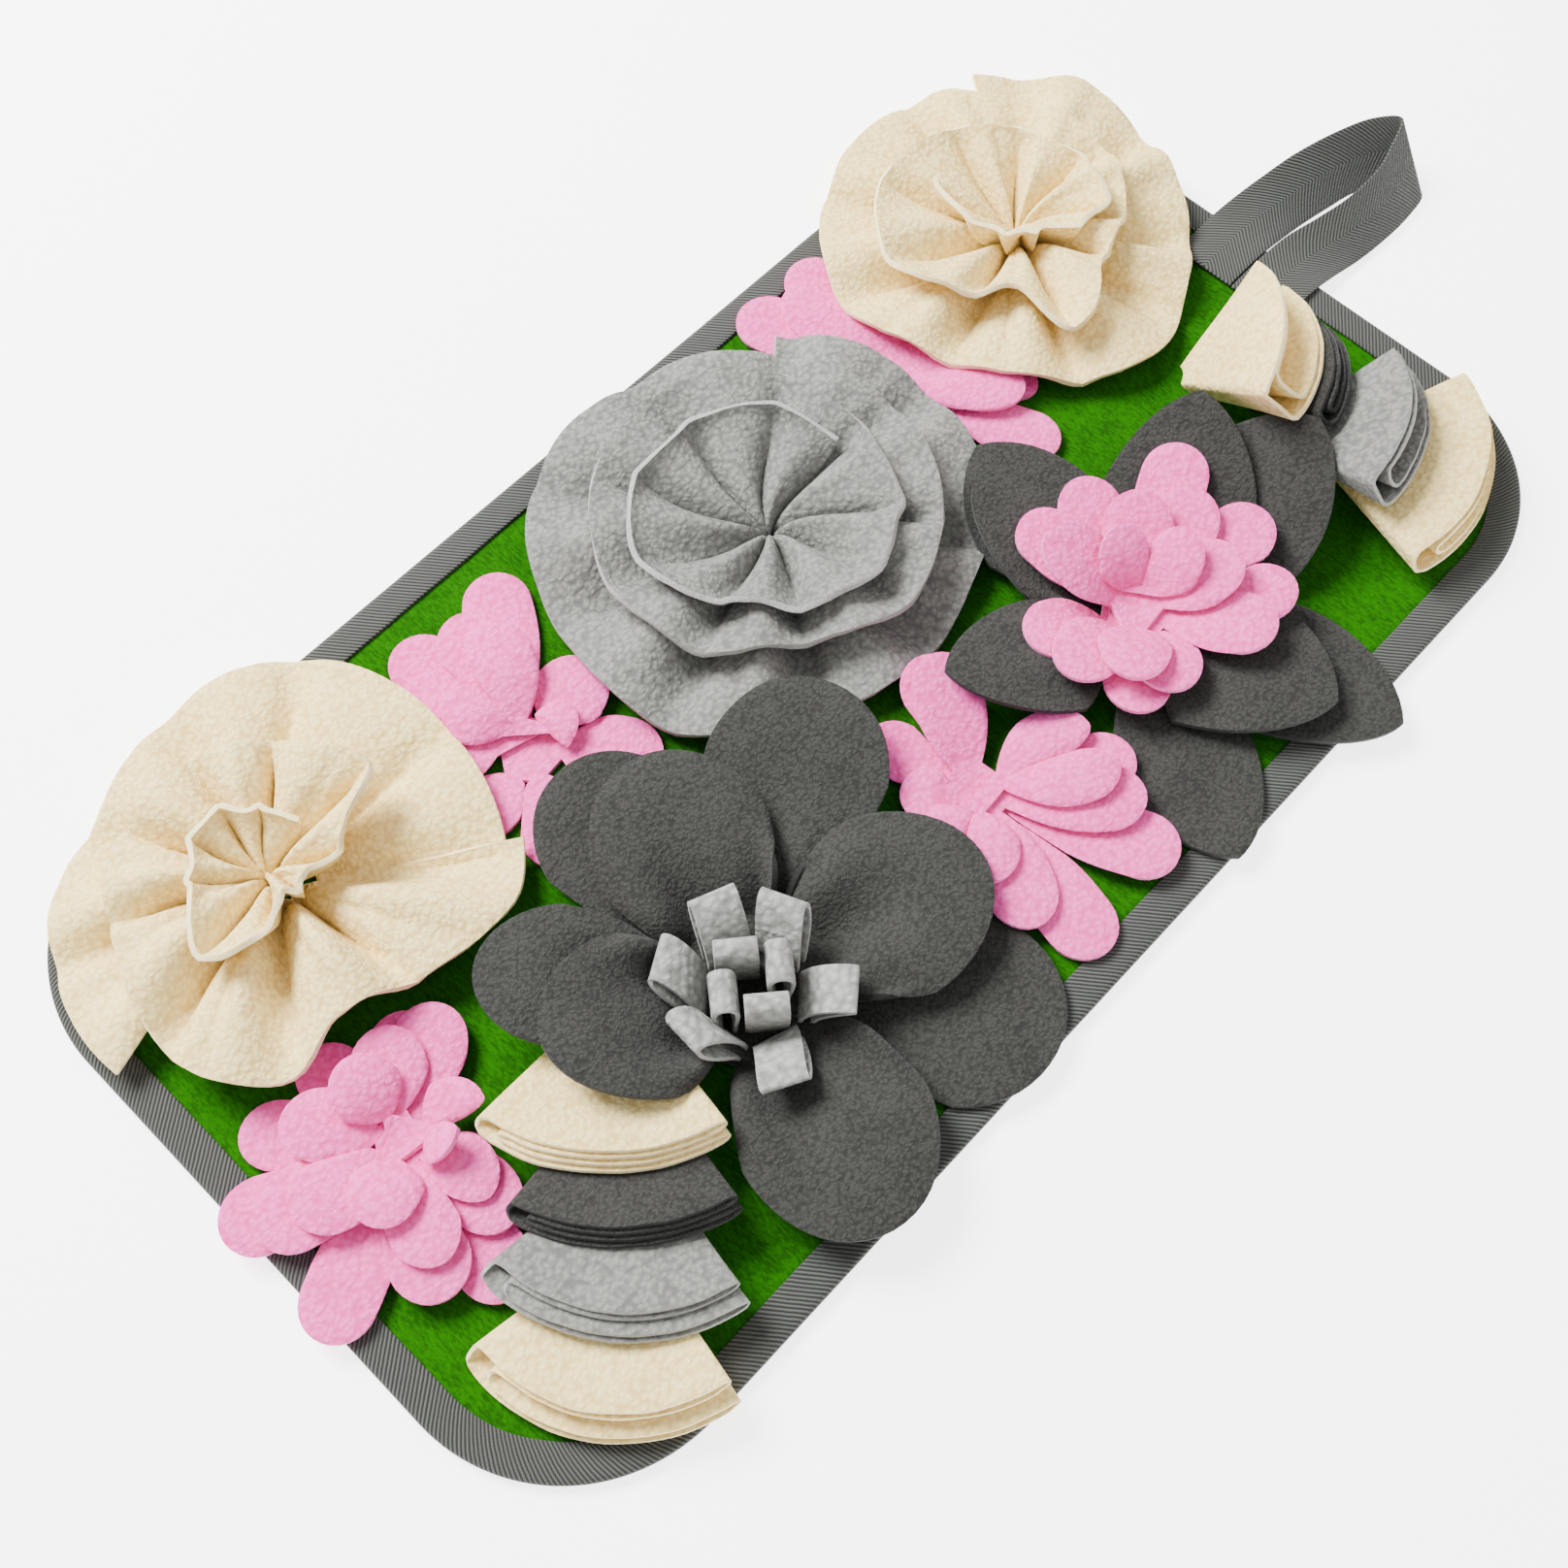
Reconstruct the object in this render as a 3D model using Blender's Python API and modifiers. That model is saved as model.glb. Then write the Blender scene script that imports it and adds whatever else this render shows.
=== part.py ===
# Snuffle mat: a felt base bound with twill tape, with a hanging loop, fleece roses, layered
# flowers and folded tabs. Lengths are in millimetres. The mat's centre is the origin, its underside
# lies at height 0, +X runs along the mat to the hanging loop and +Z is up.

import math

import bmesh
import bpy
from mathutils import Vector

millimetre = 0.001
weld_distance = 0.00002

# Driving sizes
mat_length = 514.0
mat_width = 280.0
corner_radius = 61.4
felt_thickness = 3.0
felt_rim_thickness = 2.0
fleece_thickness = 2.0
tab_thickness = 1.3
tape_thickness = 1.0
cloth_gap = 0.3
layer_pitch = fleece_thickness + cloth_gap
tab_pitch = tab_thickness + 0.4
tab_seat = felt_thickness + cloth_gap + tab_thickness / 2
binding_cover = 12.0
felt_seat = felt_thickness + cloth_gap + fleece_thickness / 2
pleats_per_turn = 9
pleat_profile = (0.25, 0.9, 0.8, 0.25)
cup_share = 0.8
petal_slit = 0.4
widest_slit = 150.0
pleat_depth_first = 1.4
pleat_depth_growth = 5.5
root_growth = 1.7
rose_root_height = felt_seat + 2.7
rose_floor = felt_seat + 1.9
rose_core_lift = 3.0

colours = {
    "green_felt": (0x2F8A08, 0.95),
    "grey_tape": (0x606162, 0.85),
    "cream_fleece": (0xF1E4C6, 0.95),
    "light_grey_fleece": (0xB5B7B6, 0.95),
    "pink_fleece": (0xF4B4D3, 0.95),
    "dark_grey_fleece": (0x5B5D5D, 0.95),
}

# Each rose: its centre, the root circle's first and last radius, and one row for each bend of the
# free edge: turn angle in degrees, radius and height.
roses = {
    "rose_grey": {
        "material": "light_grey_fleece",
        "centre": (28, 54),
        "root": (1.6, 22),
        "rise": (1.2, 2.6),
        "cup": 1.0,
        "edge": [
            (2, 36, 28), (54, 42, 31), (98, 43, 32), (143, 49, 32), (182, 47, 32), (209, 40, 31),
            (267, 45, 31), (304, 46, 31), (336, 46, 30), (373, 49, 29), (408, 59, 28), (440, 63, 27),
            (501, 62, 25), (564, 58, 24), (598, 52, 24), (633, 59, 24), (688, 62, 24), (738, 67, 22),
            (798, 78, 16), (835, 86, 12), (884, 82, 13), (926, 83, 12), (951, 74, 10), (985, 73, 9),
            (1017, 74, 8), (1047, 82, 8), (1078, 84, 12.5), (1122, 86, 13.5),
        ],
    },
    "rose_right": {
        "material": "cream_fleece",
        "centre": (189, 77),
        "root": (1.6, 20),
        "rise": (1.2, 2.6),
        "cup": 1.0,
        "edge": [
            (113, 34, 30), (140, 26, 31), (176, 17, 29), (258, 15, 30), (313, 31, 31), (379, 33, 30),
            (432, 43, 29), (463, 51, 28), (512, 56, 28), (550, 47, 28), (577, 38, 27), (603, 56, 26),
            (633, 38, 26), (664, 38, 25), (724, 49, 24), (767, 64, 19), (791, 75, 14), (838, 75, 13),
            (875, 75, 14), (911, 66, 14), (938, 65, 13), (985, 73, 10), (1019, 67, 9), (1066, 70, 12),
            (1103, 81, 12), (1133, 84, 10),
        ],
    },
    "rose_left": {
        "material": "cream_fleece",
        "centre": (-178, 79),
        "root": (1.6, 11),
        "rise": (1.2, 2.6),
        "cup": 1.0,
        "edge": [
            (2, 15, 30), (58, 14, 33), (89, 17, 34), (163, 18, 34), (208, 35, 32), (245, 20, 31),
            (290, 17, 30), (340, 32, 31), (360, 47, 32), (386, 42, 31), (433, 44, 29), (495, 48, 27),
            (535, 52, 25), (567, 66, 20), (594, 69, 17), (613, 56, 20), (640, 62, 18), (667, 80, 14),
            (685, 82, 14),
        ],
    },
    "rose_left_under": {
        "material": "cream_fleece",
        "centre": (-178, 79),
        "root": (25, 28.5),
        "rise": (1.8, 1.8),
        "cup": 0.0,
        "edge": [
            (-39, 76, 8.6), (2, 77, 12), (44, 82, 12), (83, 73, 10), (110, 66, 9), (143, 71, 9),
            (191, 76, 8.6),
        ],
    },
}

# Each flower: its centre, and one row for each cut layer from the bottom up: height of the centre,
# centre radius, rise of the petals' sides where they are pinched, petals. A petal is: azimuth,
# length, width, slope at its root, slope at its tip.
flowers = {
    "pink_top": {
        "material": "pink_fleece",
        "centre": (118, 70),
        "layers": [
            (felt_seat, 12, 0.6, [
                (84, 63, 25, 3, 1), (112, 67, 25, 3, 1), (-80, 66, 25, 2, 0), (-56, 50, 25, 2, 0),
            ]),
            (felt_seat + layer_pitch, 11, 1.0, [
                (98, 55, 25, 4, 0), (-65, 46, 26, 11, 1),
            ]),
        ],
    },
    "pink_middle": {
        "material": "pink_fleece",
        "centre": (-86, 57),
        "layers": [
            (felt_seat, 12, 0.6, [
                (-50, 46, 28, 1, 0), (58, 70, 24, 2, 0), (94, 62, 24, 0.5, 0), (200, 36, 25, 1, 0),
                (244, 46, 26, 1, 0),
            ]),
            (felt_seat + layer_pitch, 11, 1.0, [
                (10, 38, 26, 4, 0), (73, 56, 24, 6, 0), (106, 48, 24, 5, 0), (140, 34, 22, 3, 1),
            ]),
            (felt_seat + 2 * layer_pitch, 9, 1.0, [
                (64, 46, 24, 24, -4), (102, 32, 23, 22, -4), (-4, 20, 20, 20, 0),
            ]),
        ],
    },
    "pink_left": {
        "material": "pink_fleece",
        "centre": (-204, -14),
        "layers": [
            (felt_seat, 12, 0.6, [
                (50, 42, 23, 2, 0), (96, 44, 23, 2, 0), (132, 52, 23, 2, 0), (163, 61, 24, 6, 0),
                (206, 64, 24, 6, 0), (262, 60, 23, 3, 0),
            ]),
            (felt_seat + layer_pitch, 11, 1.0, [
                (34, 44, 24, 6, 0), (170, 52, 25, 10, 0), (240, 52, 25, 8, 0), (278, 44, 24, 7, 0),
            ]),
            (felt_seat + 2 * layer_pitch, 9, 1.0, [
                (60, 36, 23, 12, 0), (128, 38, 24, 14, 0), (176, 40, 24, 18, -4), (244, 42, 24, 14, 0),
                (-78, 34, 23, 16, -6),
            ]),
            (felt_seat + 3 * layer_pitch, 8, 1.0, [
                (85, 30, 21, 34, 0), (214, 30, 22, 34, -6), (-24, 28, 22, 30, 0), (310, 24, 18, 62, 30),
            ]),
        ],
    },
    "pink_right": {
        "material": "pink_fleece",
        "centre": (6, -64),
        "layers": [
            (felt_seat, 12, 0.6, [
                (64, 52, 23, 18, 9), (100, 42, 22, 2, 0), (-34, 55, 23, 12, 3), (-67, 70, 24, 8, 2),
                (-102, 69, 24, 4, 0), (185, 28, 22, 0, 0),
            ]),
            (felt_seat + layer_pitch, 11, 1.0, [
                (60, 50, 23, 23, 10), (-52, 56, 24, 13, 2), (-117, 52, 24, 8, 0), (140, 26, 22, 6, 0),
            ]),
            (felt_seat + 2 * layer_pitch, 9, 1.0, [
                (-16, 44, 25, 18, -4), (-38, 48, 24, 22, -2), (-134, 36, 23, 16, 0), (195, 26, 20, 14, 0),
            ]),
        ],
    },
    "pink_centre": {
        "material": "pink_fleece",
        "centre": (91, -61),
        "layers": [
            (13.5, 12, 0.6, [
                (26, 66, 23, 21, 7), (-10, 60, 24, 20, 2), (-39, 56, 24, 20, 2), (91, 52, 23, 20, 4),
                (150, 42, 23, 20, 8), (220, 40, 23, 18, 0),
            ]),
            (13.5 + layer_pitch, 11, 1.0, [
                (67, 52, 23, 29, 10), (14, 50, 24, 28, 4), (-60, 48, 24, 25, 2), (178, 40, 24, 30, 0),
                (245, 36, 23, 27, 0),
            ]),
            (13.5 + 2 * layer_pitch, 9, 1.0, [
                (100, 42, 24, 44, 14), (42, 42, 24, 42, 8), (-22, 40, 24, 36, 0), (214, 34, 24, 42, 0),
            ]),
            (13.5 + 3 * layer_pitch, 8, 1.0, [
                (4, 32, 22, 52, 20), (60, 30, 20, 60, 30),
            ]),
        ],
    },
    "round_flower": {
        "material": "dark_grey_fleece",
        "centre": (-95, -58),
        "tip_share": 0.5,
        "layers": [
            (felt_seat, 26.5, 2.0, [
                (33, 108, 62, 15, 6), (84, 99, 56, 11, 2), (136, 91, 46, 58, -12), (-51, 100, 66, 3, 0),
            ]),
            (felt_seat + layer_pitch, 25.5, 8.0, [
                (71, 86, 60, 28, -2), (157, 78, 56, 68, 2), (-16, 86, 64, 24, -6), (-108, 90, 62, 22, -4),
            ]),
        ],
    },
    "pointed_flower": {
        "material": "dark_grey_fleece",
        "centre": (91, -61),
        "tip_share": 0.75,
        "point": 0.2,
        "layers": [
            (felt_seat, 16, 1.5, [
                (80, 87, 52, 12, 3), (-1, 100, 60, 6, 36), (-70, 97, 62, 5, 0), (-118, 92, 54, 3, 0),
            ]),
            (felt_seat + layer_pitch + 1.4, 15, 2.0, [
                (93, 74, 54, 19, 9), (25, 88, 64, 9, 33), (-74, 74, 60, 15, -2), (155, 74, 54, 24, 4),
            ]),
        ],
    },
}

# Stamen loops of the round flower, each a short strip: azimuth and radius of the feet, azimuth,
# radius and height of the top, and the width.
stamen_material = "light_grey_fleece"
stamen_centre = (-97.5, -60)
stamen_thickness = 1.6
stamen_spread = 2.0
stamen_bulge = 2.4
stamen_foot_height = felt_seat + layer_pitch + fleece_thickness / 2 + 2 * cloth_gap
stamens = [
    (50, 10.4, 50, 11, 32, 12), (140, 10.4, 142, 11.5, 32, 12), (228, 10.4, 224, 13, 31, 12),
    (320, 10.4, 321, 11.5, 32, 12), (12, 17.1, 24, 28, 26, 15.6), (72, 17.1, 68, 30, 26, 15.6),
    (132, 17.1, 119, 29, 26, 15.6), (192, 17.1, 174, 26, 29, 15.6), (252, 17.1, 241, 33, 25, 15.6),
    (312, 17.1, 309, 31, 25, 15.6),
]

# Each tab: the corner where it is sewn down, the way it leans, half the fan's angle, its roll to one
# side, where its plies begin, and for each ply from the bottom up its reach and the slope it rises at.
tabs = {
    "tab_lower_1": {
        "material": "cream_fleece", "corner": (-176, -84), "lean": 216, "half_fan": 42, "roll": 5,
        "start": 7, "reach": (61, 60, 56, 55), "slope": (4, 5, 9, 10),
    },
    "tab_lower_2": {
        "material": "light_grey_fleece", "corner": (-157, -68), "lean": 219, "half_fan": 40, "roll": 0,
        "start": 7, "reach": (61, 60, 56, 55), "slope": (15, 15.5, 16, 16.5),
    },
    "tab_lower_3": {
        "material": "dark_grey_fleece", "corner": (-139, -46), "lean": 226, "half_fan": 33, "roll": 0,
        "start": 7, "reach": (63, 62, 61, 60), "slope": (16, 16.5, 17, 17.5),
    },
    "tab_lower_4": {
        "material": "cream_fleece", "corner": (-125, -26), "lean": 223, "half_fan": 35, "roll": 0,
        "start": 26, "reach": (66, 65, 64, 63), "slope": (18, 18.5, 19, 19.5),
    },
    "tab_upper_1": {
        "material": "cream_fleece", "corner": (182, -9), "lean": 309, "half_fan": 36, "roll": -8,
        "start": 7, "reach": (56, 55, 54, 55), "slope": (36, 37, 55, 56),
    },
    "tab_upper_2": {
        "material": "dark_grey_fleece", "corner": (191, -31), "lean": 307, "half_fan": 32, "roll": -6,
        "start": 7, "reach": (44, 43, 43, 42), "slope": (41, 42, 45, 46),
    },
    "tab_upper_3": {
        "material": "light_grey_fleece", "corner": (186, -47), "lean": 298, "half_fan": 34, "roll": -5,
        "start": 7, "reach": (58, 57, 56, 55), "slope": (26, 27, 35, 36),
    },
    "tab_upper_4": {
        "material": "cream_fleece", "corner": (194, -62), "lean": 294, "half_fan": 42, "roll": -2,
        "start": 5, "reach": (64, 63, 62, 61), "slope": (9, 10, 14, 15),
    },
}

# The way round a folded disc: ply from the bottom up, and place across the fan from -1 to 1. Two
# separate folds lie on one side, and one fold round another on the other side.
tab_stations = [
    (0, -0.9), (0, -0.45), (0, 0.0), (0, 0.45), (0, 0.9), (0.5, 1.0),
    (1, 0.9), (1, 0.45), (1, 0.0), (1, -0.45), (1, -0.76), (1.5, -0.84),
    (2, -0.76), (2, -0.45), (2, 0.0), (2, 0.45), (2, 0.9), (2.5, 1.0),
    (3, 0.9), (3, 0.45), (3, 0.0), (3, -0.45), (3, -0.9), (2.3, -1.03), (0.7, -1.03),
]

# Hanging loop: one row for each place along the tape from its far end round to its near end, with
# the tape's lower edge and its upper edge.
loop_rows = [
    ((243, 6.5, 3.9), (243, 31.5, 3.9)),
    ((235, 6.5, 3.9), (235, 31.5, 3.9)),
    ((234, 6.5, 4.6), (234, 31.5, 4.6)),
    ((235, 6.5, 5.3), (235, 31.5, 5.3)),
    ((251, 6.5, 5.9), (251, 31.8, 6.3)),
    ((265, 6.0, 4.4), (263, 30.2, 9.4)),
    ((278, 5.2, 2.6), (277, 27.8, 12)),
    ((291, 3.2, 2.2), (292, 23.9, 16.0)),
    ((304, 0.6, 2.2), (307, 18.5, 19.0)),
    ((315, -4.5, 2.0), (320, 12.5, 21.0)),
    ((321.5, -10.5, 1.8), (327.5, 6.5, 22.0)),
    ((323.5, -17.0, 1.8), (329.5, 3.0, 22.3)),
    ((321, -20.5, 2.0), (327, 0.5, 22.2)),
    ((313, -21.8, 1.8), (317, -2.6, 20.6)),
    ((303, -22.3, 1.6), (305, -5.3, 19.0)),
    ((290, -21.9, 1.6), (290, -4.5, 16.0)),
    ((277, -20.8, 1.9), (277, -0.5, 12)),
    ((265, -19.4, 3.8), (264, 3.8, 8.8)),
    ((251, -18.6, 6.0), (251, 5.6, 6.2)),
    ((235, -18.8, 5.3), (235, 5.6, 5.3)),
    ((234, -18.8, 4.6), (234, 5.6, 4.6)),
    ((235, -18.8, 3.9), (235, 5.6, 3.9)),
    ((243, -18.8, 3.9), (243, 5.6, 3.9)),
]


def linear(hex_colour):
    """The linear RGBA of an sRGB colour."""
    channels = [(hex_colour >> shift & 255) / 255 for shift in (16, 8, 0)]
    return [c / 12.92 if c <= 0.04045 else ((c + 0.055) / 1.055) ** 2.4 for c in channels] + [1.0]


def clear_scene():
    for item in list(bpy.data.objects):
        bpy.data.objects.remove(item, do_unlink=True)


def make_collection(name):
    collection = bpy.data.collections.new(name)
    bpy.context.scene.collection.children.link(collection)
    return collection


def make_material(name, node_name):
    colour, roughness = colours[name]
    material = bpy.data.materials.new(f"{name}_{node_name}")
    material.use_nodes = True
    shader = material.node_tree.nodes["Principled BSDF"]
    shader.inputs["Base Color"].default_value = linear(colour)
    shader.inputs["Roughness"].default_value = roughness
    shader.inputs["Metallic"].default_value = 0.0
    material.diffuse_color = linear(colour)
    return material


def finish_object(bm, name, material_name, thickness=None):
    """Welds the seams, and makes the object, with its cloth thickness where it has one."""
    bmesh.ops.remove_doubles(bm, verts=bm.verts, dist=weld_distance)
    bmesh.ops.recalc_face_normals(bm, faces=bm.faces)
    mesh = bpy.data.meshes.new(name)
    bm.to_mesh(mesh)
    bm.free()
    for polygon in mesh.polygons:
        polygon.use_smooth = True
    item = bpy.data.objects.new(name, mesh)
    mesh.materials.append(make_material(material_name, name))
    mat_parts.objects.link(item)
    if thickness:
        solid = item.modifiers.new("cloth", "SOLIDIFY")
        solid.thickness = thickness * millimetre
        solid.offset = 0.0
        solid.use_even_offset = False
    return item


def add_grid(bm, columns, rows, place):
    """A grid whose corner (0, 0) to (1, 1) is laid at place(along, across), in millimetres."""
    grid = bmesh.ops.create_grid(bm, x_segments=columns, y_segments=rows, size=0.5)
    for vertex in grid["verts"]:
        vertex.co = Vector(place(vertex.co.x + 0.5, vertex.co.y + 0.5)) * millimetre


def blend_rows(rows, at):
    """A smooth curve through rows of (position, values...), read at a position."""
    last = len(rows) - 1
    index = 0
    while index < last - 1 and rows[index + 1][0] < at:
        index += 1
    before, start = rows[max(index - 1, 0)], rows[index]
    end, after = rows[index + 1], rows[min(index + 2, last)]
    span = end[0] - start[0]
    t = min(max((at - start[0]) / span, 0.0), 1.0)
    values = []
    for column in range(1, len(start)):
        slope_in = (end[column] - before[column]) / (end[0] - before[0])
        slope_out = (after[column] - start[column]) / (after[0] - start[0])
        values.append(
            (2 * t**3 - 3 * t**2 + 1) * start[column]
            + (t**3 - 2 * t**2 + t) * span * slope_in
            + (3 * t**2 - 2 * t**3) * end[column]
            + (t**3 - t**2) * span * slope_out
        )
    return values


# Base and binding


def outline_point(distance, inset):
    """The point on the mat's rounded outline at a distance round it, moved inwards."""
    straight_x = mat_length - 2 * corner_radius
    straight_y = mat_width - 2 * corner_radius
    arc = corner_radius * math.pi / 2
    turn = 0
    while turn < 3 and distance > (straight_x, straight_y)[turn % 2] + arc:
        distance -= (straight_x, straight_y)[turn % 2] + arc
        turn += 1
    straight = (straight_x, straight_y)[turn % 2]
    heading = turn * math.pi / 2
    forward = Vector((math.cos(heading), math.sin(heading)))
    inward = Vector((-forward.y, forward.x))
    half_depth = (mat_width, mat_length)[turn % 2] / 2
    if distance <= straight:
        point = forward * (distance - straight / 2) - inward * (half_depth - inset)
    else:
        bend = (distance - straight) / corner_radius
        centre = forward * straight / 2 - inward * (half_depth - corner_radius)
        outward = forward * math.sin(bend) - inward * math.cos(bend)
        point = centre + outward * (corner_radius - inset)
    return point


def outline_stations(arc_steps, straight_steps):
    """The distances round the outline at which the base and the binding have a section."""
    arc = corner_radius * math.pi / 2
    stations = []
    start = 0.0
    for turn in range(4):
        straight = (mat_length, mat_width)[turn % 2] - 2 * corner_radius
        stations += [start + straight * step / straight_steps for step in range(straight_steps)]
        start += straight
        stations += [start + arc * step / arc_steps for step in range(arc_steps)]
        start += arc
    return stations


def closed_ring(name, material_name, stations, section):
    """A closed section carried round the mat's outline. A section point is an inset and a height."""
    bm = bmesh.new()

    def place(along, across):
        station = stations[round(along * len(stations)) % len(stations)]
        inset, height = section[round(across * len(section)) % len(section)]
        point = outline_point(station, inset)
        return point.x, point.y, height

    add_grid(bm, len(stations), len(section), place)
    return finish_object(bm, name, material_name)


def make_base():
    """One sheet of felt, pressed thinner where the binding holds its rim."""
    tape_step = tape_thickness + cloth_gap
    rim_in = binding_cover + 1.5
    rim_edge = tape_step + 0.9
    rings = [
        (rim_in + 3, 0.0), (rim_in, tape_step), (rim_edge, tape_step),
        (rim_edge, tape_step + felt_rim_thickness), (rim_in, tape_step + felt_rim_thickness),
        (rim_in + 3, felt_thickness),
    ]
    stations = outline_stations(6, 3)
    bm = bmesh.new()

    def place(along, across):
        inset, height = rings[round(across * (len(rings) - 1))]
        point = outline_point(stations[round(along * len(stations)) % len(stations)], inset)
        return point.x, point.y, height

    add_grid(bm, len(stations), len(rings) - 1, place)
    bmesh.ops.remove_doubles(bm, verts=bm.verts, dist=weld_distance)
    rims = [edge for edge in bm.edges if edge.is_boundary]
    bmesh.ops.holes_fill(bm, edges=rims, sides=0)
    return finish_object(bm, "base", "green_felt")


def make_binding():
    """The tape folded round the rim, under, round the edge and over."""
    top = tape_thickness * 2 + cloth_gap * 2 + felt_rim_thickness
    section = [
        (binding_cover, 0.0), (1.6, 0.0), (0.0, 1.4), (0.0, top - 1.4), (1.6, top),
        (binding_cover, top), (binding_cover, top - tape_thickness),
        (1.8, top - tape_thickness), (1.0, top - 1.8), (1.0, 1.8), (1.8, tape_thickness),
        (binding_cover, tape_thickness),
    ]
    return closed_ring("binding", "grey_tape", outline_stations(6, 3), section)


def make_hanging_loop():
    """The tape that leaves the short edge flat, turns on edge round the loop and comes back."""
    rows = [(index, *low, *high) for index, (low, high) in enumerate(loop_rows)]
    bm = bmesh.new()

    def place(along, across):
        values = blend_rows(rows, along * (len(rows) - 1))
        return [values[axis] + (values[axis + 3] - values[axis]) * across for axis in range(3)]

    add_grid(bm, 2 * (len(rows) - 1), 2, place)
    return finish_object(bm, "hanging_loop", "grey_tape", tape_thickness)


# Roses


def rose_point(rose, along, across):
    """A point of the gathered strip: along its length, and across from its root to its free edge."""
    rows = rose["edge"]
    angle = rows[0][0] + (rows[-1][0] - rows[0][0]) * along
    edge_radius, edge_height = blend_rows(rows, angle)
    root_radius = rose["root"][0] + (rose["root"][1] - rose["root"][0]) * along**root_growth
    rise = rose["rise"][0] + (rose["rise"][1] - rose["rise"][0]) * along
    cup = rose["cup"] * max(1 - along / cup_share, 0.0)
    outward = across + (3 * across**2 - 2 * across**3 - across) * cup
    upward = (1 - (1 - across) ** rise) * (1 - cup) + across * cup
    radius = root_radius + (edge_radius - root_radius) * outward
    root_height = rose_root_height + rose_core_lift * (1 - along) ** 2 * rose["cup"]
    height = root_height + (edge_height - root_height) * upward
    steep = rise * (1 - across) ** (rise - 1) * (1 - cup) + cup
    slope = math.atan2(
        (edge_height - root_height) * steep,
        (edge_radius - root_radius) * (1 + (6 * across - 6 * across**2 - 1) * cup),
    )
    wave = 2 * abs(math.sin(math.radians(angle) * pleats_per_turn / 2)) - 1
    room = height - rose_floor
    fold = min(pleat_depth(along) * pleat_profile[round(across * 3)], room) * wave
    turn = math.radians(angle)
    x, y = rose["centre"]
    radius -= fold * math.sin(slope)
    return (
        x + radius * math.cos(turn),
        y + radius * math.sin(turn),
        height + fold * math.cos(slope),
    )


def pleat_depth(along):
    """The pleats are shallow at the tight inner turn and deeper further out."""
    return pleat_depth_first + pleat_depth_growth * along


def make_rose(name):
    rose = roses[name]
    turns = (rose["edge"][-1][0] - rose["edge"][0][0]) / 360
    bm = bmesh.new()
    add_grid(
        bm, round(turns * pleats_per_turn * 4), 3,
        lambda along, across: rose_point(rose, along, across),
    )
    return finish_object(bm, name, rose["material"], fleece_thickness)


# Flowers


def petal_point(flower, layer, petal, along, side):
    """A point of a petal: along from its root to its tip, and side from -1 to 1 across it."""
    height, root_radius, pinch_depth, _ = layer
    azimuth, length, width, root_slope, tip_slope = petal
    reach = length - root_radius
    tip_length = width * flower.get("tip_share", 0.5)
    point_share = flower.get("point", 0.0)
    root_half = root_half_width(layer, petal)
    root_spread = math.asin(root_half / root_radius)
    turn = side * math.pi / 2
    round_tip = math.cos(turn)
    sharp_tip = 1 - abs(math.sin(turn))
    tip = round_tip + (sharp_tip - round_tip) * point_share
    swell = along**0.6 if flower.get("tip_share") else math.sin(min(along * 1.25, 1.0) * math.pi / 2)
    half_width = root_half + (width / 2 - root_half) * swell
    out = (reach - tip_length) * along + tip_length * tip * along**2
    bend = out / reach
    slope = math.radians(root_slope + (tip_slope - root_slope) * bend / 2)
    flat = out * math.cos(slope)
    rise = out * math.sin(slope)
    straight = root_radius * math.cos(root_spread) + (reach - tip_length) * along * math.cos(slope)
    room = straight * math.tan(slit_angle(layer, petal, side)) - petal_slit
    lateral = min(half_width, room) * math.sin(turn)
    pinch = pinch_depth * 4 * along * (1 - along) ** 2 * math.sin(turn) ** 2
    heading = math.radians(azimuth)
    spread = root_spread * math.sin(turn)
    root_x = root_radius * math.cos(spread)
    root_y = root_radius * math.sin(spread)
    x = root_x + flat
    y = root_y + (lateral - root_half * math.sin(turn))
    centre = flower["centre"]
    return (
        centre[0] + x * math.cos(heading) - y * math.sin(heading),
        centre[1] + x * math.sin(heading) + y * math.cos(heading),
        height + rise + pinch,
    )


def slit_angle(layer, petal, side):
    """Half the angle between a petal and its neighbour on one side, where their slit runs."""
    step = 1 if side > 0 else -1
    gaps = [(other[0] - petal[0]) * step % 360 for other in layer[3]]
    return math.radians(min([gap for gap in gaps if gap > 0] + [widest_slit])) / 2


def root_half_width(layer, petal):
    """Half a petal's width at its root, so that all roots fit round the layer's centre."""
    azimuths = sorted(other[0] % 360 for other in layer[3])
    gaps = [(b - a) % 360 for a, b in zip(azimuths, azimuths[1:] + azimuths[:1])]
    return min(layer[1] * math.sin(math.radians(min(gaps)) * 0.42), petal[2] * 0.4)


def make_layer(name, flower, layer, across_steps, along_steps):
    """One cut layer: a round centre with its petals, in one piece of fleece."""
    petals = sorted(layer[3], key=lambda petal: petal[0] % 360)
    bm = bmesh.new()
    corners = len(petals) * (across_steps + 1)
    rim = bmesh.ops.create_circle(bm, cap_ends=True, segments=corners, radius=1.0)["verts"]
    rim.sort(key=lambda vertex: math.atan2(vertex.co.y, vertex.co.x) % (2 * math.pi))
    for number, petal in enumerate(petals):
        for step in range(across_steps + 1):
            side = 2 * step / across_steps - 1
            point = petal_point(flower, layer, petal, 0.0, side)
            rim[number * (across_steps + 1) + step].co = Vector(point) * millimetre
    for petal in petals:
        add_grid(
            bm, along_steps, across_steps,
            lambda along, across, petal=petal: petal_point(
                flower, layer, petal, along, 2 * across - 1
            ),
        )
    return finish_object(bm, name, flower["material"], fleece_thickness)


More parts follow.
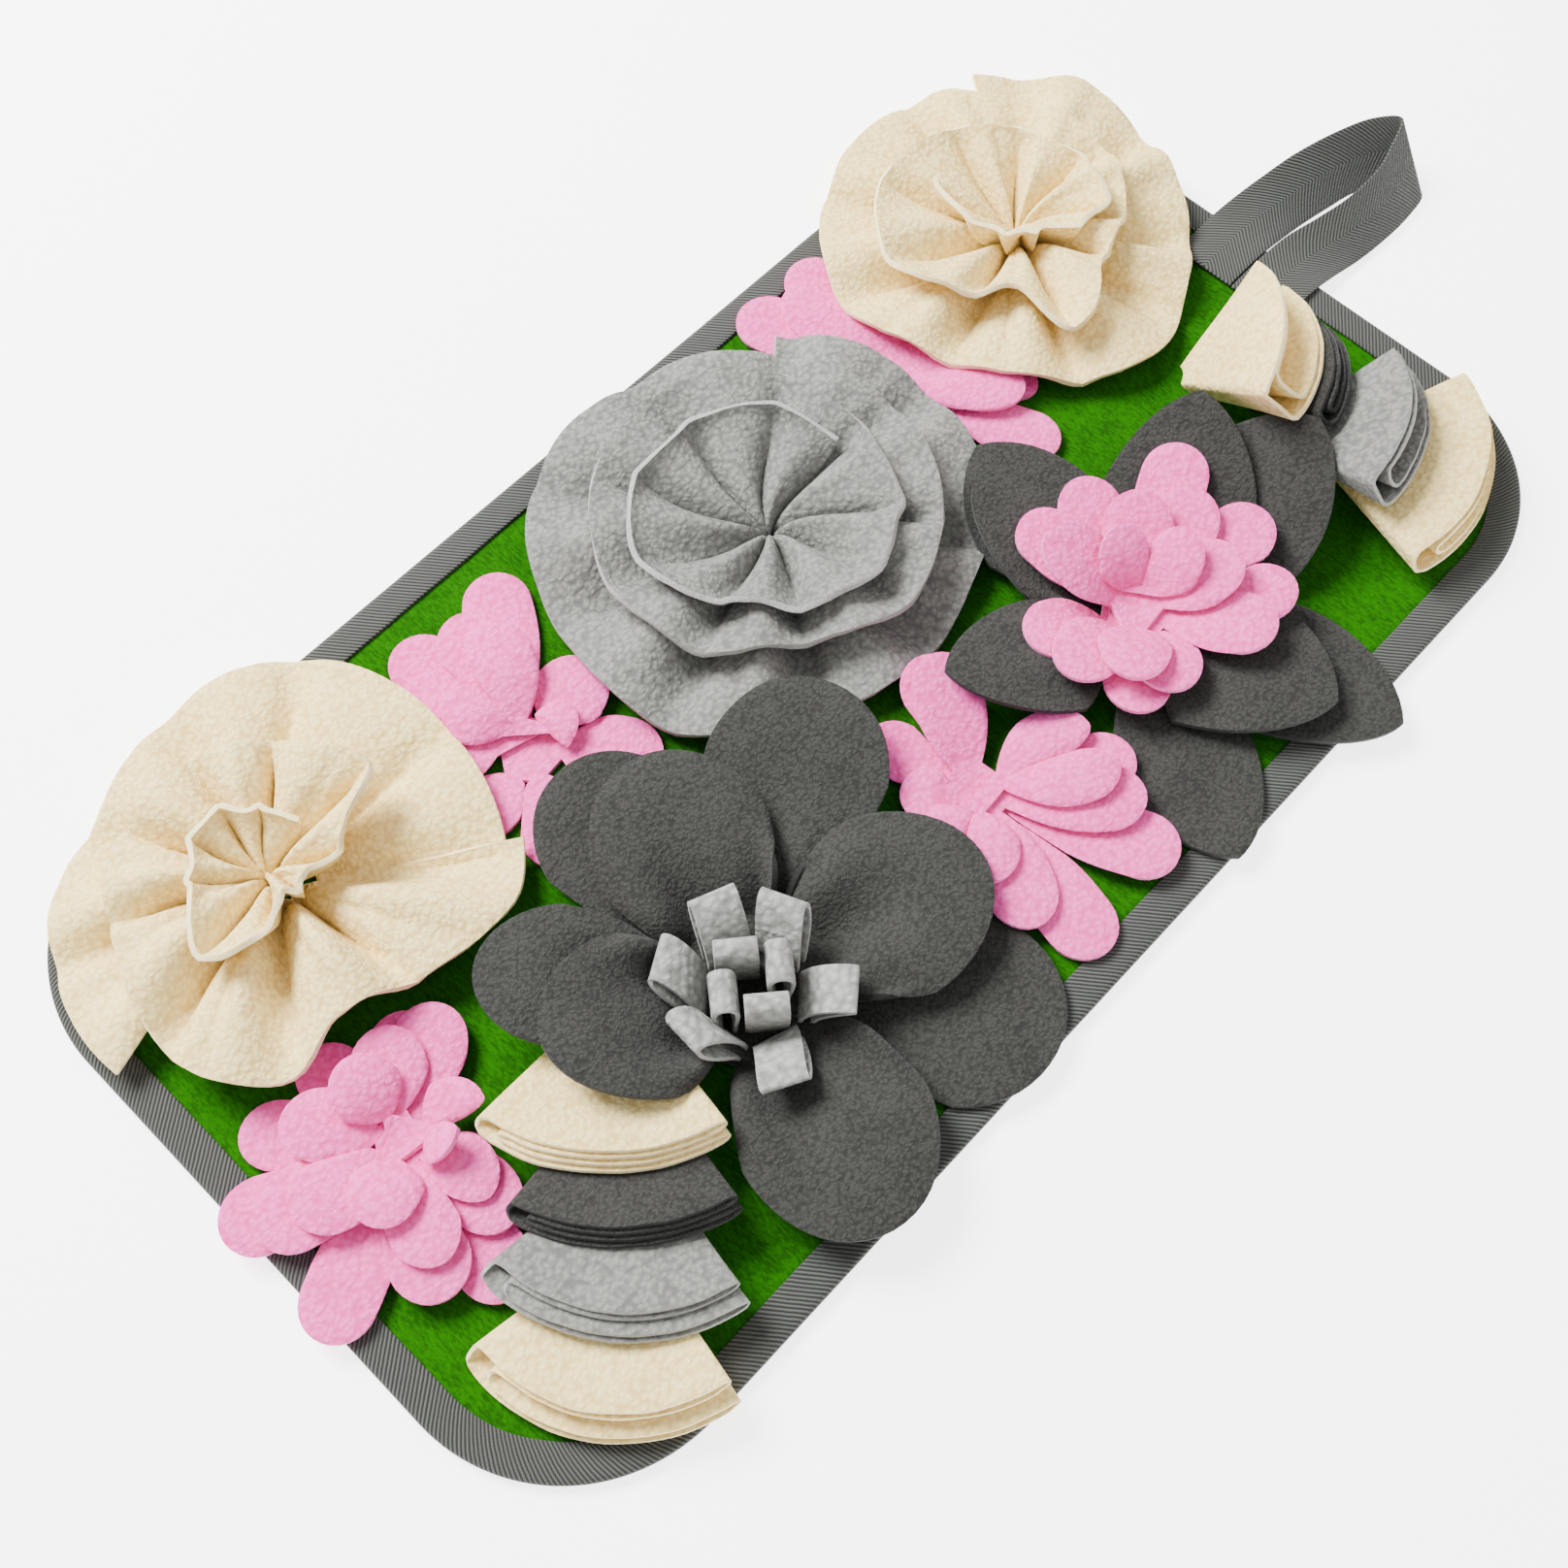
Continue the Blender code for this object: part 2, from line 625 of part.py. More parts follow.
def make_flower(name):
    flower = flowers[name]
    large = "tip_share" in flower
    for number, layer in enumerate(flower["layers"], start=1):
        make_layer(f"{name}_layer_{number}", flower, layer, 6 if large else 4, 4 if large else 3)


def stamen_point(stamen, along, across):
    """A point of a looped strip: across its width, and over from its inner foot to its outer one."""
    foot_azimuth, foot_radius, top_azimuth, top_radius, top_height, width = stamen
    turn = across * math.pi
    arch = math.sin(turn)
    azimuth = math.radians(foot_azimuth + (top_azimuth - foot_azimuth) * arch)
    spread = stamen_spread + stamen_bulge * arch
    radius = foot_radius - spread * math.cos(turn) + (top_radius - foot_radius) * arch
    height = stamen_foot_height + (top_height - stamen_foot_height) * arch**0.6
    lateral = (along - 0.5) * width
    return (
        stamen_centre[0] + radius * math.cos(azimuth) - lateral * math.sin(azimuth),
        stamen_centre[1] + radius * math.sin(azimuth) + lateral * math.cos(azimuth),
        height,
    )


def make_stamens():
    for number, stamen in enumerate(stamens, start=1):
        bm = bmesh.new()
        add_grid(bm, 1, 6, lambda along, across: stamen_point(stamen, along, across))
        finish_object(bm, f"stamen_{number}", stamen_material, stamen_thickness)


# Folded tabs


def tab_point(tab, station, out):
    """A point of a disc folded in four: at a station round its plies, and out from its corner."""
    layer, sweep = tab_stations[station % len(tab_stations)]
    lower, share = int(layer), layer - int(layer)
    upper = min(lower + 1, 3)
    reach = tab["reach"][lower] * (1 - share) + tab["reach"][upper] * share
    slope = math.radians(tab["slope"][lower] * (1 - share) + tab["slope"][upper] * share)
    seat = math.radians(tab["slope"][0])
    fan = math.radians(tab["half_fan"]) * sweep
    roll = math.radians(tab["roll"])
    length = tab["start"] + (reach - tab["start"]) * out
    forward = length * math.cos(fan)
    sideways = length * math.sin(fan)
    flat = forward * math.cos(slope) - layer * tab_pitch * math.sin(seat)
    height = tab_seat + layer * tab_pitch * math.cos(seat) + forward * math.sin(slope)
    lean = math.radians(tab["lean"])
    return (
        tab["corner"][0] + flat * math.cos(lean) - sideways * math.cos(roll) * math.sin(lean),
        tab["corner"][1] + flat * math.sin(lean) + sideways * math.cos(roll) * math.cos(lean),
        height + sideways * math.sin(roll),
    )


def make_tab(name):
    tab = tabs[name]
    count = len(tab_stations)
    bm = bmesh.new()
    add_grid(bm, count, 2, lambda around, out: tab_point(tab, round(around * count), out))
    return finish_object(bm, name, tab["material"], tab_thickness)


clear_scene()
mat_parts = make_collection("snuffle_mat")
make_base()
make_binding()
make_hanging_loop()
for rose_name in roses:
    make_rose(rose_name)
for flower_name in flowers:
    make_flower(flower_name)
make_stamens()
for tab_name in tabs:
    make_tab(tab_name)
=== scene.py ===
import math

import bmesh
import bpy
from mathutils import Matrix, Vector, noise


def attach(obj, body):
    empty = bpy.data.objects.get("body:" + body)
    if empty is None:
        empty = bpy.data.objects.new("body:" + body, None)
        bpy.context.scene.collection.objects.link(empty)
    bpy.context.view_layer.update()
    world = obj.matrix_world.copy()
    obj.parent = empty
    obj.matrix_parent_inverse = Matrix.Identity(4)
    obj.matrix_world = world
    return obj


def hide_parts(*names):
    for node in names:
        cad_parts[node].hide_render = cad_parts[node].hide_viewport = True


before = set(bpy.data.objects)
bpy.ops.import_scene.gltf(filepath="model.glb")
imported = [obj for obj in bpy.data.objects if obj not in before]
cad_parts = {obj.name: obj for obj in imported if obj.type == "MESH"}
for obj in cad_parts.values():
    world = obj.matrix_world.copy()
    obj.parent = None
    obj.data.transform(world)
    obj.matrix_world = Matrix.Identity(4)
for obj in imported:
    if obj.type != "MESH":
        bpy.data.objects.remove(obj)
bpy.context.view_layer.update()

# Snuffle mat. Lengths are in millimetres until a piece is finished. The mat's centre is the origin,
# its underside is at height 0 and +X runs along it to the hanging loop.

millimetre = 0.001
weldDistance = 0.00002

matSettings = {
    "length": 514.0,
    "width": 280.0,
    "cornerRadius": 61.4,
    "felt": 3.0,
    "feltRim": 2.0,
    "fleece": 2.0,
    "tabFleece": 1.3,
    "tape": 1.0,
    "gap": 0.3,
    "bindingCover": 12.0,
    "settle": 0.55,      # how far the laid cloth wanders from its even form
    "settleLength": 26.0,
    "settleFrom": 4.0,   # height from which it wanders, and the height over which it grows
    "settleOver": 8.0,
    "settleFlatness": 0.5,
    "noiseSeed": 7,      # without it the noise starts from the clock
}
noise.seed_set(matSettings["noiseSeed"])
layerPitch = matSettings["fleece"] + matSettings["gap"]
feltSeat = matSettings["felt"] + matSettings["gap"] + matSettings["fleece"] / 2


# Materials


def toLinear(hexColour):
    channels = [(hexColour >> shift & 255) / 255 for shift in (16, 8, 0)]
    return [c / 12.92 if c <= 0.04045 else ((c + 0.055) / 1.055) ** 2.4 for c in channels] + [1.0]


def addNode(tree, kind, settings=None, links=None):
    node = tree.nodes.new(kind)
    for name, value in (settings or {}).items():
        if isinstance(name, str) and hasattr(node, name):
            setattr(node, name, value)
        else:
            node.inputs[name].default_value = value
    for name, socket in (links or {}).items():
        tree.links.new(socket, node.inputs[name])
    return node


def addMath(tree, operation, *terms, clamp=False):
    settings = {"operation": operation, "use_clamp": clamp}
    settings.update({index: term for index, term in enumerate(terms) if isinstance(term, float)})
    links = {index: term for index, term in enumerate(terms) if not isinstance(term, float)}
    return addNode(tree, "ShaderNodeMath", settings, links).outputs[0]


def addNoise(tree, place, scale, detail, output="Fac", roughness=0.5):
    settings = {"Scale": scale, "Detail": detail, "Roughness": roughness}
    return addNode(tree, "ShaderNodeTexNoise", settings, {"Vector": place}).outputs[output]


def addRange(tree, value, limits):
    settings = {"From Min": limits[0], "From Max": limits[1]}
    return addNode(tree, "ShaderNodeMapRange", settings, {"Value": value}).outputs[0]


clothShine = {"specular": 0.12, "sheenRoughness": 0.6}


def newMaterial(name, roughness, sheen):
    material = bpy.data.materials.new(name)
    material.use_nodes = True
    shader = material.node_tree.nodes["Principled BSDF"]
    shader.inputs["Roughness"].default_value = roughness
    shader.inputs["Metallic"].default_value = 0.0
    shader.inputs["Specular IOR Level"].default_value = clothShine["specular"]
    shader.inputs["Sheen Weight"].default_value = sheen
    shader.inputs["Sheen Roughness"].default_value = clothShine["sheenRoughness"]
    return material, material.node_tree, shader


def objectPlace(tree):
    return addNode(tree, "ShaderNodeTexCoord").outputs["Object"]


def dressShader(tree, shader, share, colours, height, strength, depth):
    mix = addNode(tree, "ShaderNodeMix", {"data_type": "RGBA"}, {0: share})
    mix.inputs[6].default_value = toLinear(colours[0])
    mix.inputs[7].default_value = toLinear(colours[1])
    tree.links.new(mix.outputs[2], shader.inputs["Base Color"])
    relief = {"Strength": strength, "Distance": depth * millimetre}
    bump = addNode(tree, "ShaderNodeBump", relief, {"Height": height})
    tree.links.new(bump.outputs[0], shader.inputs["Normal"])


# Anti-pill fleece: knitted polyester brushed and sheared, so its pile gathers in small pebbles.
# Matt, soft at grazing light, with the hollows between the pebbles painted slightly darker as painted
# shade.
fleeceSettings = {
    "fibre": 0.6,        # mm, as fine as the render shows
    "fibreTone": 0.5,    # how far single fibres darken or lighten the pile
    "fibreHeight": 0.35,
    "warpScale": 0.5,
    "warp": 0.0026,      # m by which the pebbles stray from an even net
    "smoothness": 0.6,
    "hollowShadeLimits": (0.25, 0.75),
    "patchScale": 55.0,
    "patchTone": 0.9,
    "roughness": 0.95,
    "sheen": 0.05,
    # Each kind's second colour is painted shade in the hollows between the pebbles, and its cut edge colour
    # is a painted highlight where it is lighter than the pile.
    "kinds": {           # pile, hollow, cut edge, mm across a pebble, mm deep
        "cream_fleece": (0xFBE5A2, 0xE2C480, 0xFDECBA, 2.0, 0.6),
        "light_grey_fleece": (0x868681, 0x666663, 0xA2A29D, 2.0, 0.65),
        "pink_fleece": (0xFB68BA, 0xE84E9E, 0xFC86C8, 2.0, 0.55),
        "dark_grey_fleece": (0x393936, 0x282826, 0x161615, 1.3, 0.5),
        # A lighter copy of the light grey fleece, with bigger pebbles, for the stamen loops: its lighter
        # colour is a painted highlight.
        "wrinkled_grey_fleece": (0xA3A39F, 0x7C7C78, 0xB4B4B0, 2.8, 1.0),
    },
}


def makeFleece(kind):
    pile, hollowShade, _, pebble, depth = fleeceSettings["kinds"][kind]
    material, tree, shader = newMaterial(
        "brushed anti-pill " + kind, fleeceSettings["roughness"], fleeceSettings["sheen"]
    )
    place = objectPlace(tree)
    pebbleScale = 1000 / pebble
    warp = addNoise(tree, place, pebbleScale * fleeceSettings["warpScale"], 2.0, "Color")
    reach = [fleeceSettings["warp"]] * 3
    shifted = addNode(
        tree, "ShaderNodeVectorMath", {"operation": "MULTIPLY_ADD", 1: reach}, {0: warp, 2: place}
    ).outputs[0]
    cells = {"feature": "SMOOTH_F1", "Scale": pebbleScale, "Smoothness": fleeceSettings["smoothness"]}
    pebbles = addNode(tree, "ShaderNodeTexVoronoi", cells, {"Vector": shifted}).outputs["Distance"]
    fibres = addNoise(tree, place, 1000 / fleeceSettings["fibre"], 3.0, roughness=0.7)
    patches = addNoise(tree, place, fleeceSettings["patchScale"], 3.0)
    # Painted shade: the hollow colour takes over away from each pebble's middle, where the bump is lowest.
    hollowShadeShare = addRange(tree, pebbles, fleeceSettings["hollowShadeLimits"])
    fibreTone, patchTone = fleeceSettings["fibreTone"], fleeceSettings["patchTone"]
    fuzz = addMath(tree, "MULTIPLY_ADD", fibres, fibreTone, -fibreTone / 2)
    cloud = addMath(tree, "MULTIPLY_ADD", patches, patchTone, -patchTone / 2)
    # The colour share: painted shade in the hollows plus random fibre and patch tone.
    hollowShadeAndTone = addMath(tree, "ADD", addMath(tree, "ADD", hollowShadeShare, fuzz), cloud, clamp=True)
    low = addMath(tree, "MULTIPLY", fibres, fleeceSettings["fibreHeight"])
    height = addMath(tree, "MULTIPLY_ADD", pebbles, -1.0, low)
    dressShader(tree, shader, hollowShadeAndTone, (pile, hollowShade), height, 1.0, depth)
    return material


# The cut edge of the fleece, where the knitted ground shows smoother than the pile. Its colour is a painted
# highlight, lighter than the pile where the rims catch the light; on the dark grey fleece it is darker than
# the pile.
edgeSettings = {
    "fibreScale": 1400.0,
    "limits": (0.4, 0.85),
    "bump": (0.6, 0.3),  # strength, mm
    "roughness": 0.9,
    "sheen": 0.1,
}


def makeCutEdge(kind):
    _, hollowShade, edge, _, _ = fleeceSettings["kinds"][kind]
    material, tree, shader = newMaterial(
        "cut edge of " + kind, edgeSettings["roughness"], edgeSettings["sheen"]
    )
    fibres = addNoise(tree, objectPlace(tree), edgeSettings["fibreScale"], 3.0)
    spread = addRange(tree, fibres, edgeSettings["limits"])
    # The rim faces carry the painted highlight colour, flecked by the fibre noise with the darker hollow
    # colour.
    dressShader(tree, shader, spread, (edge, hollowShade), fibres, *edgeSettings["bump"])
    return material


# Needle-punched polyester felt: short matted fibres in every direction, matt, slightly mottled.
feltSettings = {
    "colour": 0x1B6000,
    "shadow": 0x124400,
    "fibre": 0.9,        # mm
    "lays": (0.3, 1.4, 2.5),  # radians: fibres lie three ways
    "stretch": 0.35,
    "patchScale": 70.0,
    "patchTone": 0.25,
    "limits": (0.58, 0.8),
    "bump": (0.8, 0.4),  # strength, mm
    "roughness": 1.0,
    "sheen": 0.0,
}


def makeFelt():
    material, tree, shader = newMaterial(
        "needle-punched green felt", feltSettings["roughness"], feltSettings["sheen"]
    )
    place = objectPlace(tree)
    mats = []
    for turn in feltSettings["lays"]:
        lie = {"Rotation": (0.0, 0.0, turn), "Scale": (1.0, feltSettings["stretch"], 1.0)}
        lay = addNode(tree, "ShaderNodeMapping", lie, {"Vector": place}).outputs[0]
        mats.append(addNoise(tree, lay, 1000 / feltSettings["fibre"], 2.0))
    high = addMath(tree, "MAXIMUM", addMath(tree, "MAXIMUM", mats[0], mats[1]), mats[2])
    patches = addNoise(tree, place, feltSettings["patchScale"], 4.0)
    mixed = addMath(tree, "MULTIPLY_ADD", patches, feltSettings["patchTone"], high)
    spread = addRange(tree, mixed, feltSettings["limits"])
    colours = (feltSettings["shadow"], feltSettings["colour"])
    dressShader(tree, shader, spread, colours, high, *feltSettings["bump"])
    return material


# Woven cotton-polyester herringbone tape: diagonal twill ribs that turn back along the middle.
# Matt, with the hollows between the ribs painted dark as painted shade. Its UV holds metres of tape along
# it and a share of its width across it.
tapeSettings = {
    "rib": 1.6,          # mm between ribs along the tape
    "lean": 0.85,        # mm along for each mm across
    "wanderScale": 260.0,
    "wander": 1.6,       # radians by which a rib strays
    "thread": 0.6,       # mm between threads
    "threadHeight": 0.2,
    "limits": (-1.0, 0.5),
    "bump": (0.9, 0.2),  # strength, mm
    "colour": 0x535551,
    # painted shade: the colour given to the hollows between the ribs
    "hollowShade": 0x20211F,
    "roughness": 0.85,
    "sheen": 0.1,
    "width": 25.0,
}


def makeTape():
    material, tree, shader = newMaterial(
        "woven herringbone tape", tapeSettings["roughness"], tapeSettings["sheen"]
    )
    uv = addNode(tree, "ShaderNodeUVMap", {"uv_map": "weave"}).outputs[0]
    split = addNode(tree, "ShaderNodeSeparateXYZ", None, {0: uv})
    along, across = split.outputs["X"], split.outputs["Y"]
    fold = addMath(tree, "ABSOLUTE", addMath(tree, "SUBTRACT", across, 0.5))
    wander = addNoise(tree, objectPlace(tree), tapeSettings["wanderScale"], 2.0)
    perMetre = 1000 * 2 * math.pi / tapeSettings["rib"]
    slant = tapeSettings["lean"] * tapeSettings["width"] * millimetre * perMetre
    phase = addMath(tree, "MULTIPLY_ADD", fold, slant, addMath(tree, "MULTIPLY", along, perMetre))
    ribs = addMath(tree, "SINE", addMath(tree, "MULTIPLY_ADD", wander, tapeSettings["wander"], phase))
    threads = addMath(tree, "MULTIPLY", along, 1000 * 2 * math.pi / tapeSettings["thread"])
    threads = addMath(tree, "SINE", threads)
    height = addMath(tree, "MULTIPLY_ADD", threads, tapeSettings["threadHeight"], ribs)
    spread = addRange(tree, height, tapeSettings["limits"])
    colours = (tapeSettings["hollowShade"], tapeSettings["colour"])
    dressShader(tree, shader, spread, colours, height, *tapeSettings["bump"])
    return material


print("materials")
cloths = {kind: (makeFleece(kind), makeCutEdge(kind)) for kind in fleeceSettings["kinds"]}
cloths["green_felt"] = (makeFelt(),)
cloths["grey_tape"] = (makeTape(),)


# Laying and finishing cloth

wornEdge = {"share": 0.28, "segments": 2, "angle": 50}


def settled(point):
    # All laid cloth wanders together, so the gaps between pieces stay.
    x, y, z = point
    grown = (z - matSettings["settleFrom"]) / matSettings["settleOver"]
    reach = min(max(grown, 0.0), 1.0) * matSettings["settle"]
    at = Vector((x, y, z * matSettings["settleFlatness"])) / matSettings["settleLength"]
    return Vector(point) + noise.noise_vector(at) * reach


def layGrid(bm, columns, rows, place, weave=None):
    grid = bmesh.ops.create_grid(bm, x_segments=columns, y_segments=rows, size=0.5)
    spots = {vertex: (vertex.co.x + 0.5, vertex.co.y + 0.5) for vertex in grid["verts"]}
    if weave:
        layer = bm.loops.layers.uv.get("weave") or bm.loops.layers.uv.new("weave")
        for face in {face for vertex in spots for face in vertex.link_faces}:
            for loop in face.loops:
                loop[layer].uv = weave(*spots[loop.vert])
    for vertex, (along, across) in spots.items():
        vertex.co = Vector(place(along, across)) * millimetre


def finishCloth(bm, name, node, slotName, flat, thickness=None, kind=None):
    bmesh.ops.remove_doubles(bm, verts=bm.verts, dist=weldDistance)
    bmesh.ops.recalc_face_normals(bm, faces=bm.faces)
    area = sum(face.calc_area() for face in bm.faces) / (1 if thickness else 2)
    mesh = bpy.data.meshes.new(name)
    bm.to_mesh(mesh)
    bm.free()
    for polygon in mesh.polygons:
        polygon.use_smooth = True
    piece = bpy.data.objects.new(name, mesh)
    bpy.context.scene.collection.objects.link(piece)
    for material in cloths[kind or slotName]:
        mesh.materials.append(material)
    if thickness:
        solid = piece.modifiers.new("thickness", "SOLIDIFY")
        solid.thickness = thickness * millimetre
        solid.offset = 0.0
        solid.use_even_offset = False
        solid.material_offset_rim = len(cloths[slotName]) - 1
        rounded = piece.modifiers.new("worn edge", "BEVEL")
        rounded.width = thickness * wornEdge["share"] * millimetre
        rounded.segments = wornEdge["segments"]
        rounded.limit_method = "ANGLE"
        rounded.angle_limit = math.radians(wornEdge["angle"])
    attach(piece, "root")
    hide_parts(node)
    width, length = flat(area)
    return piece


def blend(start, end, slopeIn, slopeOut, t):
    return (
        (2 * t**3 - 3 * t**2 + 1) * start
        + (t**3 - 2 * t**2 + t) * slopeIn
        + (3 * t**2 - 2 * t**3) * end
        + (t**3 - t**2) * slopeOut
    )


def blendRows(rows, at):
    # A smooth curve through rows of (position, values...), read at a position.
    last = len(rows) - 1
    index = 0
    while index < last - 1 and rows[index + 1][0] < at:
        index += 1
    before, start = rows[max(index - 1, 0)], rows[index]
    end, after = rows[index + 1], rows[min(index + 2, last)]
    span = end[0] - start[0]
    t = min(max((at - start[0]) / span, 0.0), 1.0)
    values = []
    for column in range(1, len(start)):
        slopeIn = (end[column] - before[column]) / (end[0] - before[0])
        slopeOut = (after[column] - start[column]) / (after[0] - start[0])
        values.append(blend(start[column], end[column], span * slopeIn, span * slopeOut, t))
    return values


# Base and binding

rimSettings = {
    "cornerSteps": 30,
    "sideSteps": 40,
    "edgeWander": 0.3,   # mm by which the binding's inner edge strays, over this length
    "wanderLength": 17,
    "swell": 0.15,
    "swellLength": 30,
    "clearOfTape": 1.5,  # mm from the tape's inner edge to where the felt thins
    "edgeRoom": 0.9,     # mm between the felt's cut edge and the fold of the tape
    "ramp": (1.2, 3.0),
    "dip": 0.1,
}


def outlinePoint(distance, inset):
    straights = (matSettings["length"] - 2 * matSettings["cornerRadius"],
                 matSettings["width"] - 2 * matSettings["cornerRadius"])
    arc = matSettings["cornerRadius"] * math.pi / 2
    turn = 0
    while turn < 3 and distance > straights[turn % 2] + arc:
        distance -= straights[turn % 2] + arc
        turn += 1
    straight = straights[turn % 2]
    heading = turn * math.pi / 2
    forward = Vector((math.cos(heading), math.sin(heading)))
    inward = Vector((-forward.y, forward.x))
    halfDepth = (matSettings["width"], matSettings["length"])[turn % 2] / 2
    if distance <= straight:
        return forward * (distance - straight / 2) - inward * (halfDepth - inset)
    bend = (distance - straight) / matSettings["cornerRadius"]
    centre = forward * straight / 2 - inward * (halfDepth - matSettings["cornerRadius"])
    outward = forward * math.sin(bend) - inward * math.cos(bend)
    return centre + outward * (matSettings["cornerRadius"] - inset)


def outlineStations():
    arc = matSettings["cornerRadius"] * math.pi / 2
    stations, start = [], 0.0
    for turn in range(4):
        straight = (matSettings["length"], matSettings["width"])[turn % 2] - 2 * matSettings["cornerRadius"]
        for span, steps in ((straight, rimSettings["sideSteps"]), (arc, rimSettings["cornerSteps"])):
            stations += [start + span * step / steps for step in range(steps)]
            start += span
    return stations


def makeBase():
    tapeStep = matSettings["tape"] + matSettings["gap"]
    rimIn = matSettings["bindingCover"] + rimSettings["clearOfTape"]
    rimEdge = tapeStep + rimSettings["edgeRoom"]
    rimTop = tapeStep + matSettings["feltRim"]
    shortRamp, longRamp = rimSettings["ramp"]
    rings = [
        (rimIn + longRamp, 0.0), (rimIn, tapeStep), (rimEdge, tapeStep), (rimEdge, rimTop), (rimIn, rimTop),
        (rimIn + shortRamp, rimTop - rimSettings["dip"]), (rimIn + longRamp, matSettings["felt"]),
    ]
    stations = outlineStations()
    bm = bmesh.new()

    def place(along, across):
        inset, height = rings[round(across * (len(rings) - 1))]
        point = outlinePoint(stations[round(along * len(stations)) % len(stations)], inset)
        return point.x, point.y, height

    layGrid(bm, len(stations), len(rings) - 1, place)
    bmesh.ops.remove_doubles(bm, verts=bm.verts, dist=weldDistance)
    rims = [edge for edge in bm.edges if edge.is_boundary]
    bmesh.ops.holes_fill(bm, edges=rims, sides=0)
    size = (matSettings["width"] * millimetre, matSettings["length"] * millimetre)
    finishCloth(bm, "feltSheet", "base", "green_felt", lambda area: size)


def makeBinding():
    top = matSettings["tape"] * 2 + matSettings["gap"] * 2 + matSettings["feltRim"]
    cover, tape = matSettings["bindingCover"], matSettings["tape"]
    outer = [
        (cover, 0.0), (cover * 0.6, 0.0), (1.8, 0.0), (0.7, 0.3), (0.15, 0.9), (0.0, 1.6), (0.0, top - 1.6),
        (0.15, top - 0.9), (0.7, top - 0.3), (1.8, top), (cover * 0.4, top), (cover * 0.7, top),
        (cover - 0.5, top), (cover - 0.1, top - 0.15), (cover, top - 0.45),
    ]
    inner = [
        (cover, top - tape), (cover * 0.5, top - tape), (1.8, top - tape), (1.0, top - 1.8), (1.0, 1.8),
        (1.8, tape), (cover * 0.5, tape), (cover, tape),
    ]
    section = outer + inner
    reach = [0.0]
    for first, second in zip(outer, outer[1:]):
        reach.append(reach[-1] + math.dist(first, second))
    shares = [length / reach[-1] for length in reach] + [1.0] * len(inner)
    stations = outlineStations()
    arcLength = 2 * (matSettings["length"] + matSettings["width"] - 4 * matSettings["cornerRadius"])
    arcLength += 2 * math.pi * matSettings["cornerRadius"]
    bm = bmesh.new()

    def place(along, across):
        distance = stations[round(along * len(stations)) % len(stations)]
        inset, height = section[round(across * len(section)) % len(section)]
        point = outlinePoint(distance, inset)
        wander = noise.noise(Vector((point.x, point.y, 0.0)) / rimSettings["wanderLength"])
        wander *= rimSettings["edgeWander"]
        point = outlinePoint(distance, inset + wander * inset / cover)
        if height > matSettings["felt"]:
            swell = noise.noise(Vector((point.x, point.y, 9.0)) / rimSettings["swellLength"])
            height += swell * rimSettings["swell"]
        return point.x, point.y, height

    def weave(along, across):
        step = round(along * len(stations))
        distance = stations[step] if step < len(stations) else arcLength
        return distance * millimetre, shares[round(across * len(section)) % len(section)]

    layGrid(bm, len(stations), len(section), place, weave)
    flat = (tapeSettings["width"] * millimetre, arcLength * millimetre)
    finishCloth(bm, "bindingTape", "binding", "grey_tape", lambda area: flat)


# Hanging loop: a row for each place along the tape, with its lower edge and its upper edge.

loopSettings = {
    "rows": [
        ((243, 6.5, 3.9), (243, 31.5, 3.9)),
        ((235, 6.5, 3.9), (235, 31.5, 3.9)),
        ((234, 6.5, 4.6), (234, 31.5, 4.6)),
        ((235, 6.5, 5.3), (235, 31.5, 5.3)),
        ((251, 6.5, 5.9), (251, 31.8, 6.3)),
        ((265, 6.0, 4.4), (263, 30.2, 9.4)),
        ((278, 5.2, 2.6), (277, 27.8, 12)),
        ((291, 3.2, 2.2), (292, 23.9, 16.0)),
        ((304, 0.6, 2.2), (307, 18.5, 19.0)),
        ((315, -4.5, 2.0), (320, 12.5, 21.0)),
        ((321.5, -10.5, 1.8), (327.5, 6.5, 22.0)),
        ((323.5, -17.0, 1.8), (329.5, 3.0, 22.3)),
        ((321, -20.5, 2.0), (327, 0.5, 22.2)),
        ((313, -21.8, 1.8), (317, -2.6, 20.6)),
        ((303, -22.3, 1.6), (305, -5.3, 19.0)),
        ((290, -21.9, 1.6), (290, -4.5, 16.0)),
        ((277, -20.8, 1.9), (277, -0.5, 12)),
        ((265, -19.4, 3.8), (264, 3.8, 8.8)),
        ((251, -18.6, 6.0), (251, 5.6, 6.2)),
        ((235, -18.8, 5.3), (235, 5.6, 5.3)),
        ((234, -18.8, 4.6), (234, 5.6, 4.6)),
        ((235, -18.8, 3.9), (235, 5.6, 3.9)),
        ((243, -18.8, 3.9), (243, 5.6, 3.9)),
    ],
    "stepsPerRow": 8,
    "acrossSteps": 12,
}


def makeLoop():
    rows = [(index, *low, *high) for index, (low, high) in enumerate(loopSettings["rows"])]
    count = loopSettings["stepsPerRow"] * (len(rows) - 1)
    middles = [blendRows(rows, step / loopSettings["stepsPerRow"]) for step in range(count + 1)]
    travelled = [0.0]
    for first, second in zip(middles, middles[1:]):
        a, b = Vector(first[:3]) + Vector(first[3:]), Vector(second[:3]) + Vector(second[3:])
        travelled.append(travelled[-1] + (b - a).length / 2)
    bm = bmesh.new()

    def place(along, across):
        values = middles[round(along * count)]
        return [values[axis] + (values[axis + 3] - values[axis]) * across for axis in range(3)]

    def weave(along, across):
        return travelled[round(along * count)] * millimetre, across

    layGrid(bm, count, loopSettings["acrossSteps"], place, weave)
    flat = (tapeSettings["width"] * millimetre, travelled[-1] * millimetre)
    finishCloth(
        bm, "loopTape", "hanging_loop", "grey_tape", lambda area: flat,
        matSettings["tape"],
    )


# Roses: each a gathered strip. A row for each bend of the free edge: turn angle, radius and height.
# The seam is what is turned in flat under the root, where the strip is sewn down.

